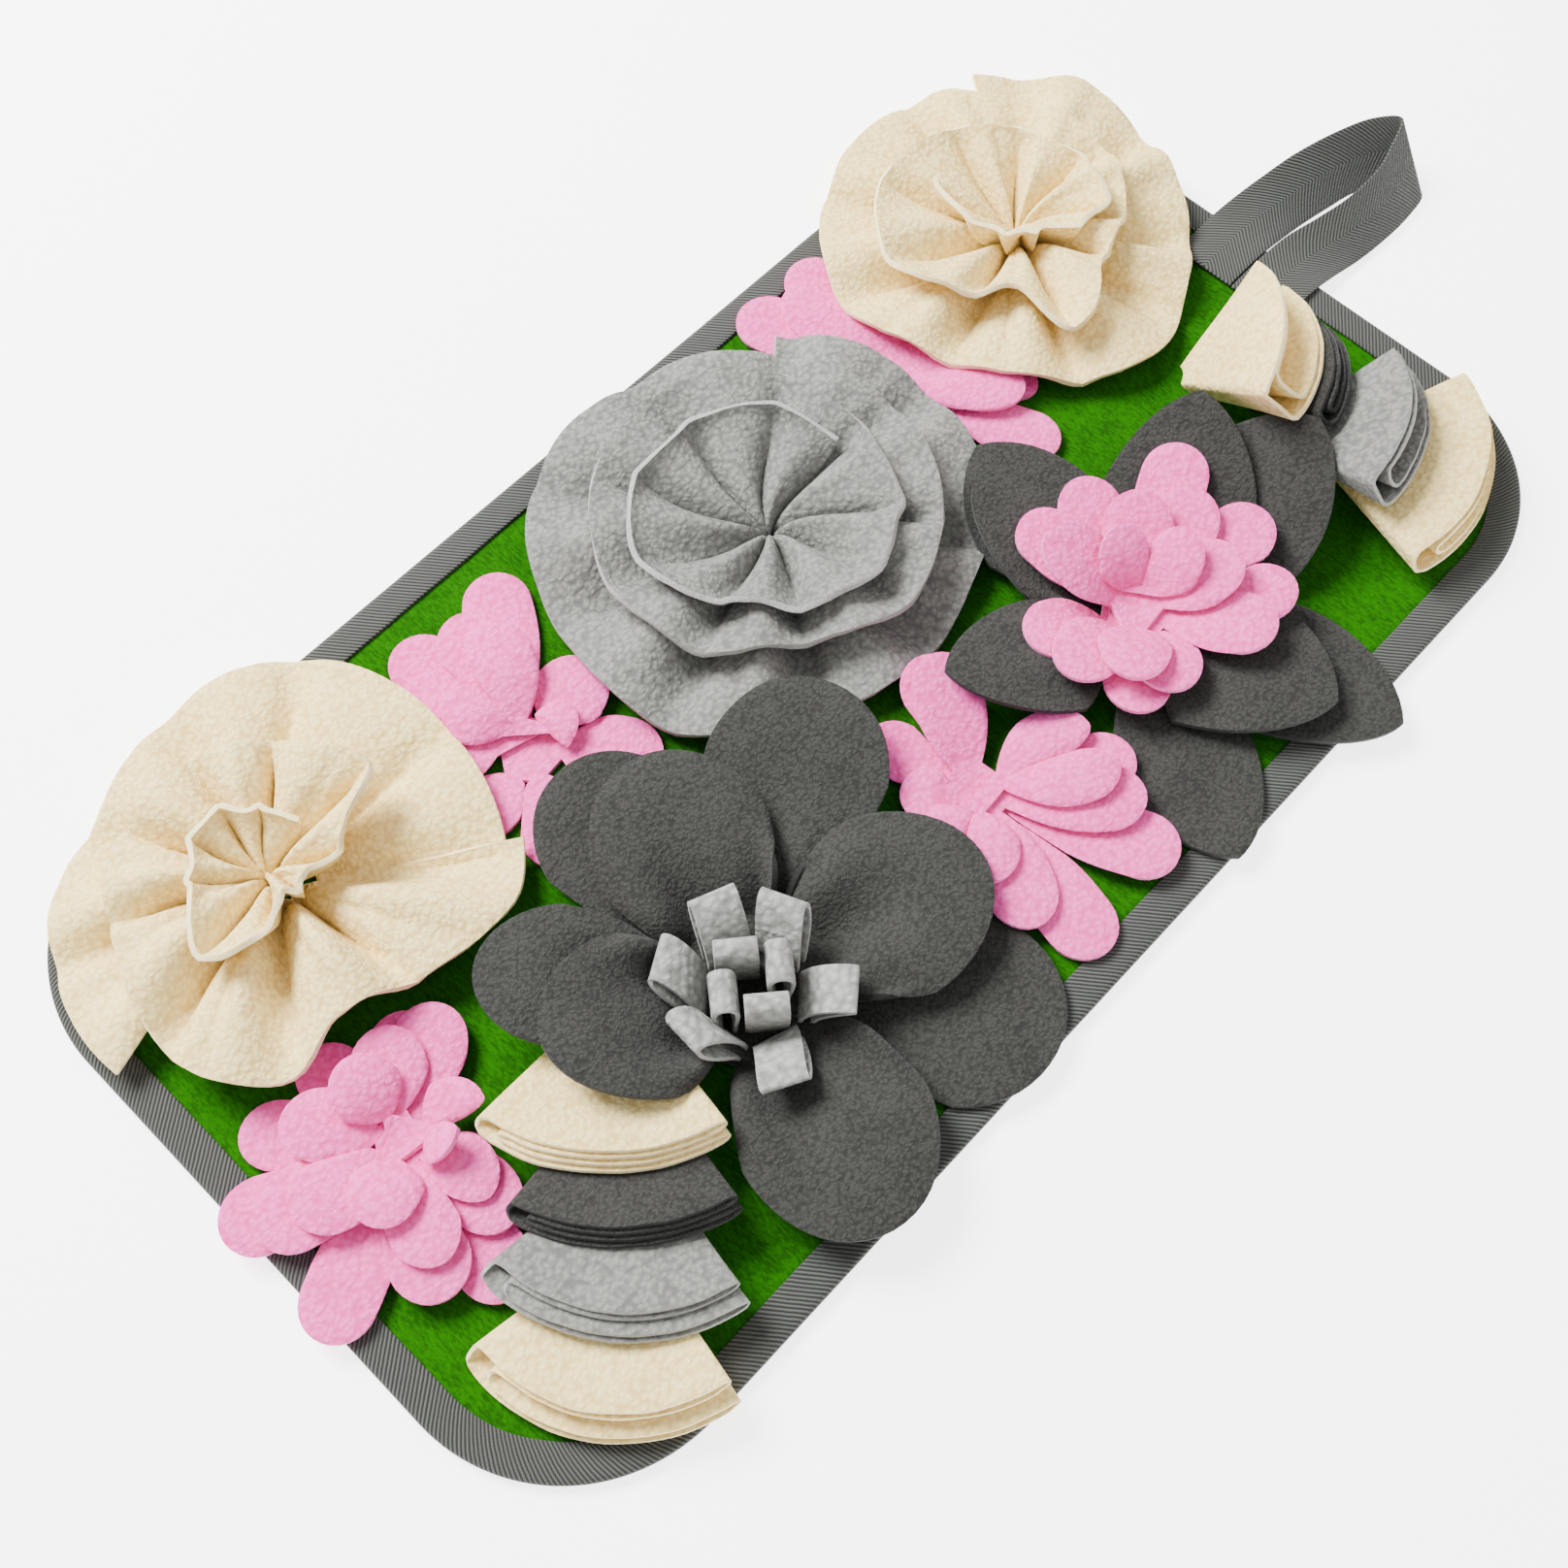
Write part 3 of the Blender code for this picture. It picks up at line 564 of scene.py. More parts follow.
roseSettings = {
    "pleatsPerTurn": 9,
    "pleatProfile": [(0.0, 0.25), (0.3, 0.95), (0.6, 0.9), (0.85, 0.45), (1.0, 0.2)],
    "pleatDepth": (4.2, 3.6),
    "wander": 0.16,      # radians by which a pleat strays from its even place
    "ripple": 2.6,       # mm, smaller folds between the pleats of the outer turns
    "lip": 2.4,          # mm the rims of the cups turn up
    "swirl": 0.6,        # radians by which the inner roots are twisted round
    "unevenness": 0.5,   # share by which one pleat differs from the next
    "cupShare": 0.8,     # share of the strip's length that stands up as a cup
    "coreLift": 3.0,
    "rootLift": 2.7,     # mm from the felt's seat to the outermost root
    "rootGrowth": 1.7,
    "floorRoom": 1.9,    # mm above the felt's seat that no fold goes under
    "patch": 2.2,        # how fast the unevenness changes round a turn
    "strayPatch": 7,
    "ripplePhase": 0.8,
    "rippleReach": 0.9,
    "rimPleat": 0.3,     # share by which outer pleats stay deep up to the rim
    "seamRadius": 0.8,
    "seamLift": 0.1,
    "seamSteps": 3,
    "stepsPerPleat": 14,
    "acrossSteps": 16,
    "strips": {
        "roseGreyStrip": {
            "node": "rose_grey",
            "slot": "light_grey_fleece",
            "centre": (28, 54),
            "root": (1.6, 22),
            "rise": (1.2, 2.6), "cup": 1.0, "seam": 4.5,
            "edge": [
                (2, 36, 28), (54, 42, 31), (98, 43, 32), (143, 49, 32), (182, 47, 32), (209, 40, 31),
                (267, 45, 31), (304, 46, 31), (336, 46, 30), (373, 49, 29), (408, 59, 28), (440, 63, 27),
                (501, 62, 25), (564, 58, 24), (598, 52, 24), (633, 59, 24), (688, 62, 24), (738, 67, 22),
                (798, 78, 16), (835, 86, 12), (884, 82, 13), (926, 83, 12), (951, 74, 10), (985, 73, 9),
                (1017, 74, 8), (1047, 82, 8), (1078, 84, 12.5), (1122, 86, 13.5),
            ],
        },
        "roseRightStrip": {
            "node": "rose_right",
            "slot": "cream_fleece",
            "centre": (189, 77),
            "root": (1.6, 20),
            "rise": (1.2, 2.6), "cup": 1.0, "seam": 4.5,
            "edge": [
                (113, 34, 30), (140, 26, 31), (176, 17, 29), (258, 15, 30), (313, 31, 31), (379, 33, 30),
                (432, 43, 29), (463, 51, 28), (512, 56, 28), (550, 47, 28), (577, 38, 27), (603, 56, 26),
                (633, 38, 26), (664, 38, 25), (724, 49, 24), (767, 64, 19), (791, 75, 14), (838, 75, 13),
                (875, 75, 14), (911, 66, 14), (938, 65, 13), (985, 73, 10), (1019, 67, 9), (1066, 70, 12),
                (1103, 81, 12), (1133, 84, 10),
            ],
        },
        "roseLeftStrip": {
            "node": "rose_left",
            "slot": "cream_fleece",
            "centre": (-178, 79),
            "root": (1.6, 11),
            "rise": (1.2, 2.6), "cup": 1.0, "seam": 4.5,
            "edge": [
                (2, 18, 30), (58, 17, 33), (89, 21, 34), (163, 21, 34), (208, 35, 32), (245, 20, 31),
                (290, 17, 30), (340, 32, 31), (360, 47, 32), (386, 42, 31), (433, 44, 29), (495, 48, 27),
                (535, 52, 25), (567, 66, 20), (594, 69, 17), (613, 56, 20), (640, 62, 18), (667, 80, 14),
                (685, 82, 14),
            ],
        },
        "roseLeftUnderStrip": {
            "node": "rose_left_under",
            "slot": "cream_fleece",
            "centre": (-178, 79),
            "root": (25, 28.5),
            "rise": (1.8, 1.8), "cup": 0.0, "seam": 12,
            "edge": [
                (-39, 76, 8.6), (2, 77, 12), (44, 82, 12), (83, 73, 10), (110, 66, 9), (143, 71, 9),
                (191, 76, 8.6),
            ],
        },
    },
}


def rosePoint(strip, along, across, seam=0.0):
    rows = strip["edge"]
    angle = rows[0][0] + (rows[-1][0] - rows[0][0]) * along
    edgeRadius, edgeHeight = blendRows(rows, angle)
    first, last = strip["root"]
    rootRadius = first + (last - first) * along ** roseSettings["rootGrowth"]
    rootHeight = feltSeat + roseSettings["rootLift"]
    rootHeight += roseSettings["coreLift"] * (1 - along) ** 2 * strip["cup"]
    rise = strip["rise"][0] + (strip["rise"][1] - strip["rise"][0]) * along
    cup = strip["cup"] * max(1 - along / roseSettings["cupShare"], 0.0)
    outward = across + (3 * across**2 - 2 * across**3 - across) * cup
    upward = (1 - (1 - across) ** rise) * (1 - cup) + across * cup
    radius = rootRadius + (edgeRadius - rootRadius) * outward
    height = rootHeight + (edgeHeight - rootHeight) * upward
    steep = rise * max(1 - across, 1e-4) ** (rise - 1) * (1 - cup) + cup
    slope = math.atan2(
        (edgeHeight - rootHeight) * steep,
        (edgeRadius - rootRadius) * (1 + (6 * across - 6 * across**2 - 1) * cup),
    )
    turn = math.radians(angle)
    patch = Vector((
        math.cos(turn) * roseSettings["patch"], math.sin(turn) * roseSettings["patch"], strip["centre"][0],
    ))
    uneven = 1 + noise.noise(patch) * roseSettings["unevenness"]
    stray = noise.noise(patch + Vector((0, 0, roseSettings["strayPatch"]))) * roseSettings["wander"]
    pleats = (turn + stray) * roseSettings["pleatsPerTurn"] / 2
    wave = 2 * abs(math.sin(pleats)) - 1
    ripple = 2 * abs(math.sin(pleats * 2 + roseSettings["ripplePhase"])) - 1
    ripple *= roseSettings["ripple"] * along * math.sin(across * math.pi * roseSettings["rippleReach"])
    start, growth = roseSettings["pleatDepth"]
    profile = blendRows(roseSettings["pleatProfile"], across)[0] + roseSettings["rimPleat"] * along * across
    depth = (start + growth * along) * profile * uneven
    fold = max(depth * wave + ripple, feltSeat + roseSettings["floorRoom"] - height)
    radius -= fold * math.sin(slope)
    height += fold * math.cos(slope) + roseSettings["lip"] * cup * across**5
    turn += roseSettings["swirl"] * strip["cup"] * (1 - across) ** 2 * max(1 - 2 * along, 0.0)
    if seam:
        sewn = max(radius - strip["seam"], min(radius, roseSettings["seamRadius"]))
        radius += (sewn - radius) * seam
        height += (feltSeat + roseSettings["seamLift"] - height) * (1 - (1 - seam) ** 3)
    x, y = strip["centre"]
    return settled((x + radius * math.cos(turn), y + radius * math.sin(turn), height))


def makeRose(name, strip):
    rows = strip["edge"]
    turns = (rows[-1][0] - rows[0][0]) / 360
    columns = round(turns * roseSettings["pleatsPerTurn"] * roseSettings["stepsPerPleat"])
    acrossSteps, seamSteps = roseSettings["acrossSteps"], roseSettings["seamSteps"]
    bm = bmesh.new()

    def place(along, across):
        step = round(across * (acrossSteps + seamSteps)) - seamSteps
        return rosePoint(strip, along, max(step, 0) / acrossSteps, max(-step, 0) / seamSteps)

    layGrid(bm, columns, acrossSteps + seamSteps, place)
    middle = [rosePoint(strip, 0.5, step / acrossSteps) for step in range(acrossSteps + 1)]
    width = sum((b - a).length for a, b in zip(middle, middle[1:])) * millimetre
    finishCloth(
        bm, name, strip["node"], strip["slot"],
        lambda area: (width, area / width), matSettings["fleece"],
    )


# Flowers: cut layers stacked on one centre. A layer is height, centre radius, pinch, petals, and a
# petal is azimuth, length, width, slope at its root and slope at its tip.

pinkHeight = 13.5
flowerSettings = {
    "petalSteps": (14, 12),
    "largePetalSteps": (24, 20),
    "slit": 0.4,         # mm cut away on each side between petals
    "widestSlit": 150.0,
    "dome": 2.4,         # mm the middle of a free petal stands above its sides
    "domeReach": 0.85,
    "domeDrop": 0.3,
    "crease": 4.5,       # mm, folds where a large petal is pinched at its root
    "creases": 5,
    "creaseLift": 0.7,
    "rootGap": 0.42,     # share of the angle to the next petal that half a root takes
    "rootWidth": 0.4,    # most that half a root takes of its petal's width
    "largeSwell": 0.6,
    "smallSwell": 1.25,
    "tipShare": 0.5,
    "cornerCut": 0.25,   # share of a petal's width that its round tip takes off the sheet's corner
    "flowers": {
        "pinkTop": {
            "node": "pink_top", "slot": "pink_fleece", "centre": (118, 70),
            "layers": [
                (feltSeat, 12, 0.6, [
                    (84, 63, 25, 3, 1), (112, 67, 25, 3, 1), (-80, 66, 25, 2, 0), (-56, 50, 25, 2, 0),
                ]),
                (feltSeat + layerPitch, 11, 1.0, [(98, 55, 25, 4, 0), (-65, 46, 26, 11, 1)]),
            ],
        },
        "pinkMiddle": {
            "node": "pink_middle", "slot": "pink_fleece", "centre": (-86, 57),
            "layers": [
                (feltSeat, 12, 0.6, [
                    (-50, 46, 28, 1, 0), (58, 70, 24, 2, 0), (94, 62, 24, 0.5, 0), (200, 36, 25, 1, 0),
                    (244, 46, 26, 1, 0),
                ]),
                (feltSeat + layerPitch, 11, 1.0, [
                    (10, 38, 26, 4, 0), (73, 56, 24, 6, 0), (106, 48, 24, 5, 0), (140, 34, 22, 3, 1),
                ]),
                (feltSeat + 2 * layerPitch, 9, 1.0, [
                    (64, 46, 24, 24, -4), (102, 32, 23, 22, -4), (-4, 20, 20, 20, 0),
                ]),
            ],
        },
        "pinkLeft": {
            "node": "pink_left", "slot": "pink_fleece", "centre": (-204, -14),
            "layers": [
                (feltSeat, 12, 0.6, [
                    (50, 42, 23, 2, 0), (96, 44, 23, 2, 0), (132, 52, 23, 2, 0), (163, 61, 24, 6, 0),
                    (206, 64, 24, 6, 0), (262, 60, 23, 3, 0),
                ]),
                (feltSeat + layerPitch, 11, 1.0, [
                    (34, 44, 24, 6, 0), (170, 52, 25, 10, 0), (240, 52, 25, 8, 0), (278, 44, 24, 7, 0),
                ]),
                (feltSeat + 2 * layerPitch, 9, 1.0, [
                    (60, 36, 23, 12, 0), (128, 38, 24, 14, 0), (176, 40, 24, 18, -4), (244, 42, 24, 14, 0),
                    (-78, 34, 23, 16, -6),
                ]),
                (feltSeat + 3 * layerPitch, 8, 1.0, [
                    (85, 30, 21, 34, 0), (214, 30, 22, 34, -6), (-24, 28, 22, 30, 0), (310, 24, 18, 62, 30),
                ]),
            ],
        },
        "pinkRight": {
            "node": "pink_right", "slot": "pink_fleece", "centre": (6, -64),
            "layers": [
                (feltSeat, 12, 0.6, [
                    (64, 52, 23, 18, 9), (100, 42, 22, 2, 0), (-34, 55, 23, 12, 3), (-67, 70, 24, 8, 2),
                    (-102, 69, 24, 4, 0), (185, 28, 22, 0, 0),
                ]),
                (feltSeat + layerPitch, 11, 1.0, [
                    (60, 50, 23, 23, 10), (-52, 56, 24, 13, 2), (-117, 52, 24, 8, 0), (140, 26, 22, 6, 0),
                ]),
                (feltSeat + 2 * layerPitch, 9, 1.0, [
                    (-16, 44, 25, 18, -4), (-38, 48, 24, 22, -2), (-134, 36, 23, 16, 0),
                    (195, 26, 20, 14, 0),
                ]),
            ],
        },
        "pinkCentre": {
            "node": "pink_centre", "slot": "pink_fleece", "centre": (91, -61),
            "layers": [
                (pinkHeight, 12, 0.6, [
                    (26, 66, 23, 21, 7), (-10, 60, 24, 20, 2), (-39, 56, 24, 20, 2), (91, 52, 23, 20, 4),
                    (150, 42, 23, 20, 8), (220, 40, 23, 18, 0),
                ]),
                (pinkHeight + layerPitch, 11, 1.0, [
                    (67, 52, 23, 29, 10), (14, 50, 24, 28, 4), (-60, 48, 24, 25, 2), (178, 40, 24, 30, 0),
                    (245, 36, 23, 27, 0),
                ]),
                (pinkHeight + 2 * layerPitch, 9, 1.0, [
                    (100, 42, 24, 44, 14), (42, 42, 24, 42, 8), (-22, 40, 24, 36, 0), (214, 34, 24, 42, 0),
                ]),
                (pinkHeight + 3 * layerPitch, 8, 1.0, [(4, 32, 22, 52, 20), (60, 30, 20, 60, 30)]),
            ],
        },
        "roundFlower": {
            "node": "round_flower", "slot": "dark_grey_fleece", "centre": (-95, -58), "tipShare": 0.5,
            "layers": [
                (feltSeat, 26.5, 2.0, [
                    (33, 108, 62, 15, 6), (84, 99, 56, 11, 2), (136, 91, 46, 58, -12), (-51, 100, 66, 3, 0),
                ]),
                (feltSeat + layerPitch, 25.5, 8.0, [
                    (71, 86, 60, 28, -2), (157, 78, 56, 68, 2), (-16, 86, 64, 24, -6),
                    (-108, 90, 62, 22, -4),
                ]),
            ],
        },
        "pointedFlower": {
            "node": "pointed_flower", "slot": "dark_grey_fleece", "centre": (91, -61), "tipShare": 0.75,
            "point": 0.2,
            "layers": [
                (feltSeat, 16, 1.5, [
                    (80, 87, 52, 12, 3), (-1, 100, 60, 6, 36), (-70, 97, 62, 5, 0), (-118, 92, 54, 3, 0),
                ]),
                (feltSeat + layerPitch + 1.4, 15, 2.0, [
                    (93, 74, 54, 19, 9), (25, 88, 64, 9, 33), (-74, 74, 60, 15, -2), (155, 74, 54, 24, 4),
                ]),
            ],
        },
    },
}


def rootHalfWidth(layer, petal):
    azimuths = sorted(other[0] % 360 for other in layer[3])
    gaps = [(b - a) % 360 for a, b in zip(azimuths, azimuths[1:] + azimuths[:1])]
    rootAngle = math.radians(min(gaps)) * flowerSettings["rootGap"]
    return min(layer[1] * math.sin(rootAngle), petal[2] * flowerSettings["rootWidth"])


def slitAngle(layer, petal, side):
    # Half the angle between a petal and its neighbour on one side.
    step = 1 if side > 0 else -1
    gaps = [(other[0] - petal[0]) * step % 360 for other in layer[3]]
    return math.radians(min([gap for gap in gaps if gap > 0] + [flowerSettings["widestSlit"]])) / 2


def petalPoint(flower, layer, petal, along, side, free=1.0):
    height, rootRadius, pinchDepth, _ = layer
    azimuth, length, width, rootSlope, tipSlope = petal
    reach = length - rootRadius
    tipLength = width * flower.get("tipShare", flowerSettings["tipShare"])
    pointShare = flower.get("point", 0.0)
    rootHalf = rootHalfWidth(layer, petal)
    rootSpread = math.asin(rootHalf / rootRadius)
    turn = side * math.pi / 2
    roundTip, sharpTip = math.cos(turn), 1 - abs(math.sin(turn))
    tip = roundTip + (sharpTip - roundTip) * pointShare
    if "tipShare" in flower:
        swell = along ** flowerSettings["largeSwell"]
    else:
        swell = math.sin(min(along * flowerSettings["smallSwell"], 1.0) * math.pi / 2)
    halfWidth = rootHalf + (width / 2 - rootHalf) * swell
    out = (reach - tipLength) * along + tipLength * tip * along**2
    bend = out / reach
    slope = math.radians(rootSlope + (tipSlope - rootSlope) * bend / 2)
    straight = rootRadius * math.cos(rootSpread) + (reach - tipLength) * along * math.cos(slope)
    room = straight * math.tan(slitAngle(layer, petal, side)) - flowerSettings["slit"]
    lateral = min(halfWidth, room) * math.sin(turn)
    pinch = pinchDepth * 4 * along * (1 - along) ** 2 * math.sin(turn) ** 2
    hump = math.sin(along * math.pi * flowerSettings["domeReach"])
    pinch += flowerSettings["dome"] * free * (math.cos(turn) - flowerSettings["domeDrop"]) * hump
    if "tipShare" in flower:
        folds = math.cos(turn * flowerSettings["creases"] + azimuth)
        folds += flowerSettings["creaseLift"] * math.sin(turn) ** 2
        pinch += flowerSettings["crease"] * free * 6 * along * (1 - along) ** 3 * folds
    heading = math.radians(azimuth)
    spread = rootSpread * math.sin(turn)
    x = rootRadius * math.cos(spread) + out * math.cos(slope)
    y = rootRadius * math.sin(spread) + lateral - rootHalf * math.sin(turn)
    centre = flower["centre"]
    return settled((
        centre[0] + x * math.cos(heading) - y * math.sin(heading),
        centre[1] + x * math.sin(heading) + y * math.cos(heading),
        height + out * math.sin(slope) + pinch,
    ))


def cutSize(layer):
    # The rectangle that the layer is cut from, laid flat.
    corners = []
    for azimuth, length, width, _, _ in layer[3]:
        heading = math.radians(azimuth)
        for side in (-0.5, 0.5):
            for out in (layer[1], length - width * flowerSettings["cornerCut"]):
                corners.append((
                    out * math.cos(heading) - side * width * math.sin(heading),
                    out * math.sin(heading) + side * width * math.cos(heading),
                ))
        corners.append((length * math.cos(heading), length * math.sin(heading)))
    spans = [max(c[axis] for c in corners) - min(c[axis] for c in corners) for axis in (0, 1)]
    return tuple(max(span, 2 * layer[1]) * millimetre for span in spans)


def makeLayer(name, flower, number, layer, steps):
    acrossSteps, alongSteps = steps
    petals = sorted(layer[3], key=lambda petal: petal[0] % 360)
    free = number / len(flower["layers"])
    bm = bmesh.new()
    corners = len(petals) * (acrossSteps + 1)
    rim = bmesh.ops.create_circle(bm, cap_ends=True, segments=corners, radius=1.0)["verts"]
    rim.sort(key=lambda vertex: math.atan2(vertex.co.y, vertex.co.x) % (2 * math.pi))
    for count, petal in enumerate(petals):
        for step in range(acrossSteps + 1):
            point = petalPoint(flower, layer, petal, 0.0, 2 * step / acrossSteps - 1, free)
            rim[count * (acrossSteps + 1) + step].co = Vector(point) * millimetre
    for petal in petals:

        def place(along, across):
            return petalPoint(flower, layer, petal, along, 2 * across - 1, free)

        layGrid(bm, alongSteps, acrossSteps, place)
    size = cutSize(layer)
    finishCloth(
        bm, f"{name}Layer{number}", f"{flower['node']}_layer_{number}", flower["slot"],
        lambda area: size, matSettings["fleece"],
    )


# Stamens: short strips folded into loops. Azimuth and radius of the feet, azimuth, radius and height
# of the top, and the width.

stamenSettings = {
    "centre": (-97.5, -60),
    "thickness": 1.6,
    "spread": 2.0,
    "bulge": (4.4, 4.6),  # inner ring, outer ring
    "aside": (4.0, 0.0),  # mm each loop stands to one side, so that four close up in a ring
    "innerReach": 12.0,   # mm, feet nearer the centre than this are the inner ring
    "fullness": 0.6,
    "footHeight": feltSeat + layerPitch + matSettings["fleece"] / 2 + 2 * matSettings["gap"],
    "steps": (10, 32),
    "loops": [
        (50, 8.8, 50, 9.2, 32, 14), (140, 8.8, 141, 9.4, 31, 14), (228, 8.8, 229, 9.6, 32, 14),
        (320, 8.8, 320, 9.2, 31, 14), (12, 17.1, 24, 28, 26, 15.6), (72, 17.1, 68, 30, 26, 15.6),
        (132, 17.1, 119, 29, 26, 15.6), (192, 17.1, 174, 26, 29, 15.6), (252, 17.1, 241, 33, 25, 15.6),
        (312, 17.1, 309, 31, 25, 15.6),
    ],
}


def stamenPoint(loop, along, across):
    footAzimuth, footRadius, topAzimuth, topRadius, topHeight, width = loop
    foot = stamenSettings["footHeight"]
    turn = across * math.pi
    arch = math.sin(turn)
    azimuth = math.radians(footAzimuth + (topAzimuth - footAzimuth) * arch)
    ring = int(footRadius > stamenSettings["innerReach"])
    spread = stamenSettings["spread"] + stamenSettings["bulge"][ring] * arch
    radius = footRadius - spread * math.cos(turn) + (topRadius - footRadius) * arch
    height = foot + (topHeight - foot) * arch ** stamenSettings["fullness"]
    lateral = (along - 0.5) * width + stamenSettings["aside"][ring]
    x, y = stamenSettings["centre"]
    return (
        x + radius * math.cos(azimuth) - lateral * math.sin(azimuth),
        y + radius * math.sin(azimuth) + lateral * math.cos(azimuth),
        height,
    )


def makeStamens():
    columns, rows = stamenSettings["steps"]
    for number, loop in enumerate(stamenSettings["loops"], start=1):
        bm = bmesh.new()
        layGrid(bm, columns, rows, lambda along, across: stamenPoint(loop, along, across))
        width = loop[5] * millimetre
        # The loops are the light grey fleece, drawn with its lighter copy as a painted highlight on the
        # standing loops.
        finishCloth(
            bm, f"stamenLoop{number}", f"stamen_{number}", "light_grey_fleece",
            lambda area: (width, area / width), stamenSettings["thickness"],
            "wrinkled_grey_fleece",
        )


# Tabs: fleece discs folded in four. Corner, lean, half the fan's angle, roll to one side, where the
# plies begin, and each ply's reach and slope from the bottom up.

tabSettings = {
    "pitch": matSettings["tabFleece"] + 0.4,
    "stationSteps": 6,
    "outSteps": 12,
    "ragged": 0.35,      # mm by which a ply's cut edge strays
    "raggedPitch": 1.7,
    "stations": [
        (0, -0.9), (0, -0.45), (0, 0.0), (0, 0.45), (0, 0.9), (0.5, 1.0),
        (1, 0.9), (1, 0.45), (1, 0.0), (1, -0.45), (1, -0.76), (1.5, -0.84),
        (2, -0.76), (2, -0.45), (2, 0.0), (2, 0.45), (2, 0.9), (2.5, 1.0),
        (3, 0.9), (3, 0.45), (3, 0.0), (3, -0.45), (3, -0.9), (2.3, -1.03), (0.7, -1.03),
    ],
    "tabs": {
        "tabLower1": {
            "node": "tab_lower_1", "slot": "cream_fleece", "corner": (-176, -84), "lean": 216,
            "halfFan": 42, "roll": 5, "start": 7, "reach": (61, 60, 56, 55), "slope": (4, 5, 9, 10),
        },
        "tabLower2": {
            "node": "tab_lower_2", "slot": "light_grey_fleece", "corner": (-157, -68), "lean": 219,
            "halfFan": 40, "roll": 0, "start": 7, "reach": (61, 60, 56, 55), "slope": (15, 15.5, 16, 16.5),
        },
        "tabLower3": {
            "node": "tab_lower_3", "slot": "dark_grey_fleece", "corner": (-139, -46), "lean": 226,
            "halfFan": 33, "roll": 0, "start": 7, "reach": (63, 62, 61, 60), "slope": (16, 16.5, 17, 17.5),
        },
        "tabLower4": {
            "node": "tab_lower_4", "slot": "cream_fleece", "corner": (-125, -26), "lean": 223,
            "halfFan": 35, "roll": 0, "start": 26, "reach": (66, 65, 64, 63), "slope": (18, 18.5, 19, 19.5),
        },
        "tabUpper1": {
            "node": "tab_upper_1", "slot": "cream_fleece", "corner": (182, -9), "lean": 309,
            "halfFan": 36, "roll": -8, "start": 7, "reach": (56, 55, 54, 55), "slope": (36, 37, 55, 56),
        },
        "tabUpper2": {
            "node": "tab_upper_2", "slot": "dark_grey_fleece", "corner": (191, -31), "lean": 307,
            "halfFan": 32, "roll": -6, "start": 7, "reach": (44, 43, 43, 42), "slope": (41, 42, 45, 46),
        },
        "tabUpper3": {
            "node": "tab_upper_3", "slot": "light_grey_fleece", "corner": (186, -47), "lean": 298,
            "halfFan": 34, "roll": -5, "start": 7, "reach": (58, 57, 56, 55), "slope": (26, 27, 35, 36),
        },
        "tabUpper4": {
            "node": "tab_upper_4", "slot": "cream_fleece", "corner": (194, -62), "lean": 294,
            "halfFan": 42, "roll": -2, "start": 5, "reach": (64, 63, 62, 61), "slope": (9, 10, 14, 15),
        },
    },
}


def roundedStation(at):
    # The way round the plies as one smooth closed curve.
    stations = tabSettings["stations"]
    index = int(at) % len(stations)
    share = at - int(at)
    before, start, end, after = (stations[(index + step) % len(stations)] for step in (-1, 0, 1, 2))
    values = []
    for column in (0, 1):
        slopeIn = (end[column] - before[column]) / 2
        slopeOut = (after[column] - start[column]) / 2
        values.append(blend(start[column], end[column], slopeIn, slopeOut, share))
    return min(max(values[0], 0.0), 3.0), values[1]


def tabPoint(tab, at, out):
    layer, sweep = roundedStation(at)
    lower = min(int(layer), 2)
    share = layer - lower
    reach = tab["reach"][lower] * (1 - share) + tab["reach"][lower + 1] * share
    slope = math.radians(tab["slope"][lower] * (1 - share) + tab["slope"][lower + 1] * share)
    seat = math.radians(tab["slope"][0])
    fan = math.radians(tab["halfFan"]) * sweep
    roll = math.radians(tab["roll"])
    ragged = noise.noise(Vector((at * tabSettings["raggedPitch"], tab["corner"][0], 0.0)))
    ragged *= tabSettings["ragged"]
    length = tab["start"] + (reach + ragged - tab["start"]) * out
    forward = length * math.cos(fan)
    sideways = length * math.sin(fan)
    flat = forward * math.cos(slope) - layer * tabSettings["pitch"] * math.sin(seat)
    height = matSettings["felt"] + matSettings["gap"] + matSettings["tabFleece"] / 2
    height += layer * tabSettings["pitch"] * math.cos(seat) + forward * math.sin(slope)
    lean = math.radians(tab["lean"])
    return settled((
        tab["corner"][0] + flat * math.cos(lean) - sideways * math.cos(roll) * math.sin(lean),
        tab["corner"][1] + flat * math.sin(lean) + sideways * math.cos(roll) * math.cos(lean),
        height + sideways * math.sin(roll),
    ))


def makeTab(name, tab):
    count = len(tabSettings["stations"])
    bm = bmesh.new()
    layGrid(
        bm, count * tabSettings["stationSteps"], tabSettings["outSteps"],
        lambda around, out: tabPoint(tab, (around * count) % count, out),
    )
    across = 2 * tab["reach"][0] * millimetre
    finishCloth(
        bm, name, tab["node"], tab["slot"],
        lambda area: (across, across), matSettings["tabFleece"],
    )


print("base, binding and loop")
makeBase()
makeBinding()
makeLoop()
print("roses")
for roseName, roseStrip in roseSettings["strips"].items():
    makeRose(roseName, roseStrip)
print("flowers")
for flowerName, flowerRow in flowerSettings["flowers"].items():
    petalSteps = flowerSettings["largePetalSteps" if "tipShare" in flowerRow else "petalSteps"]
    for layerNumber, layerRow in enumerate(flowerRow["layers"], start=1):
        makeLayer(flowerName, flowerRow, layerNumber, layerRow, petalSteps)
makeStamens()
print("tabs")
for tabName, tabRow in tabSettings["tabs"].items():
    makeTab(tabName, tabRow)


# Studio: a glowing white floor, one wide soft light above the picture's left and a weak fill

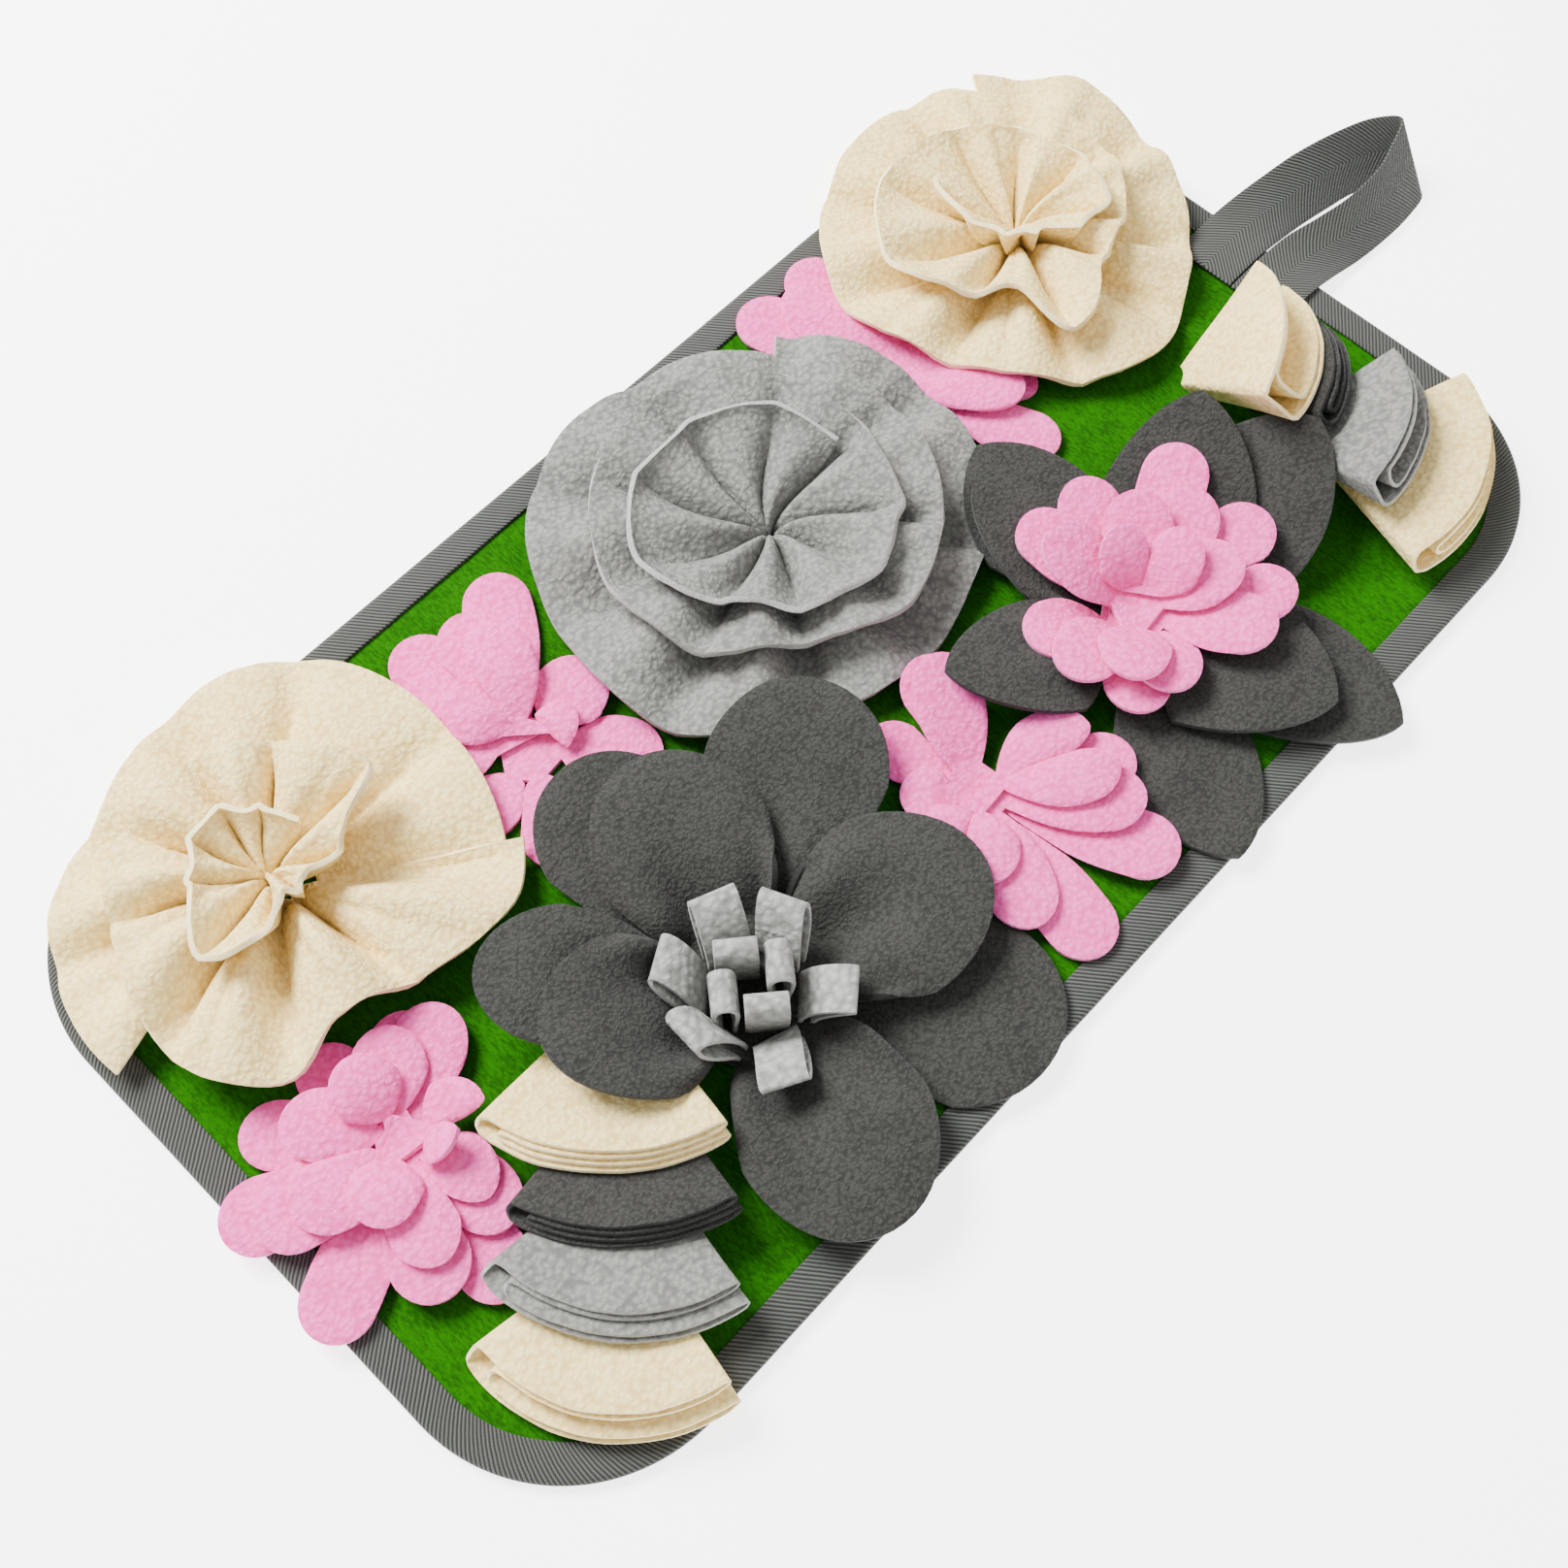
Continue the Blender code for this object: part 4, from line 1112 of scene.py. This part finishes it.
studioSettings = {
    "floor": 0xFAFAFA,
    "floorReach": 6.0,   # m
    "floorDrop": 0.0004,
    "world": 0xFFFFFF,
    "worldStrength": 0.95,
    "floorGlow": 3.6,    # the floor is a light table
    "lights": [           # azimuth in the mat's frame, elevation, distance in m, size in m, watts
        (100, 48, 1.7, 0.9, 96),
        (-40, 40, 2.0, 1.6, 6),
    ],
}


def makeStudio():
    bm = bmesh.new()
    bmesh.ops.create_grid(bm, x_segments=1, y_segments=1, size=studioSettings["floorReach"])
    bmesh.ops.translate(bm, verts=bm.verts, vec=(0, 0, -studioSettings["floorDrop"]))
    mesh = bpy.data.meshes.new("floor")
    bm.to_mesh(mesh)
    bm.free()
    floor = bpy.data.objects.new("floor", mesh)
    bpy.context.scene.collection.objects.link(floor)
    paint, _, shader = newMaterial("opal white light table", 0.9, 0.0)
    shader.inputs["Base Color"].default_value = toLinear(studioSettings["floor"])
    shader.inputs["Emission Color"].default_value = toLinear(studioSettings["floor"])
    shader.inputs["Emission Strength"].default_value = studioSettings["floorGlow"]
    mesh.materials.append(paint)
    world = bpy.data.worlds.new("studio")
    world.use_nodes = True
    background = world.node_tree.nodes["Background"]
    background.inputs[0].default_value = toLinear(studioSettings["world"])
    background.inputs[1].default_value = studioSettings["worldStrength"]
    bpy.context.scene.world = world
    for number, (azimuth, elevation, distance, size, power) in enumerate(studioSettings["lights"], start=1):
        lamp = bpy.data.lights.new(f"softLight{number}", "AREA")
        lamp.shape = "DISK"
        lamp.size = size
        lamp.energy = power
        light = bpy.data.objects.new(f"softLight{number}", lamp)
        bpy.context.scene.collection.objects.link(light)
        turn, lift = math.radians(azimuth), math.radians(elevation)
        way = Vector((math.cos(turn) * math.cos(lift), math.sin(turn) * math.cos(lift), math.sin(lift)))
        light.location = way * distance
        light.rotation_euler = way.to_track_quat("Z", "Y").to_euler()


cameraSettings = {
    "lens": 42.66,
    "sensor": 36.0,
    "turn": -46.108,
    "tilt": 24.247,
    "roll": -0.203,
    "place": (-0.220577, -0.192599, 0.574576),
}


def makeCamera():
    lensData = bpy.data.cameras.new("camera")
    lensData.lens = cameraSettings["lens"]
    lensData.sensor_width = cameraSettings["sensor"]
    lensData.sensor_height = cameraSettings["sensor"]
    lensData.sensor_fit = "HORIZONTAL"
    lensData.clip_start = 0.01
    camera = bpy.data.objects.new("camera", lensData)
    bpy.context.scene.collection.objects.link(camera)
    turn = Matrix.Rotation(math.radians(cameraSettings["turn"]), 4, "Z")
    tilt = Matrix.Rotation(math.radians(cameraSettings["tilt"]), 4, "X")
    roll = Matrix.Rotation(math.radians(cameraSettings["roll"]), 4, "Z")
    camera.matrix_world = Matrix.Translation(cameraSettings["place"]) @ turn @ tilt @ roll
    bpy.context.scene.camera = camera


print("studio and camera")
makeStudio()
makeCamera()
bpy.context.view_layer.update()
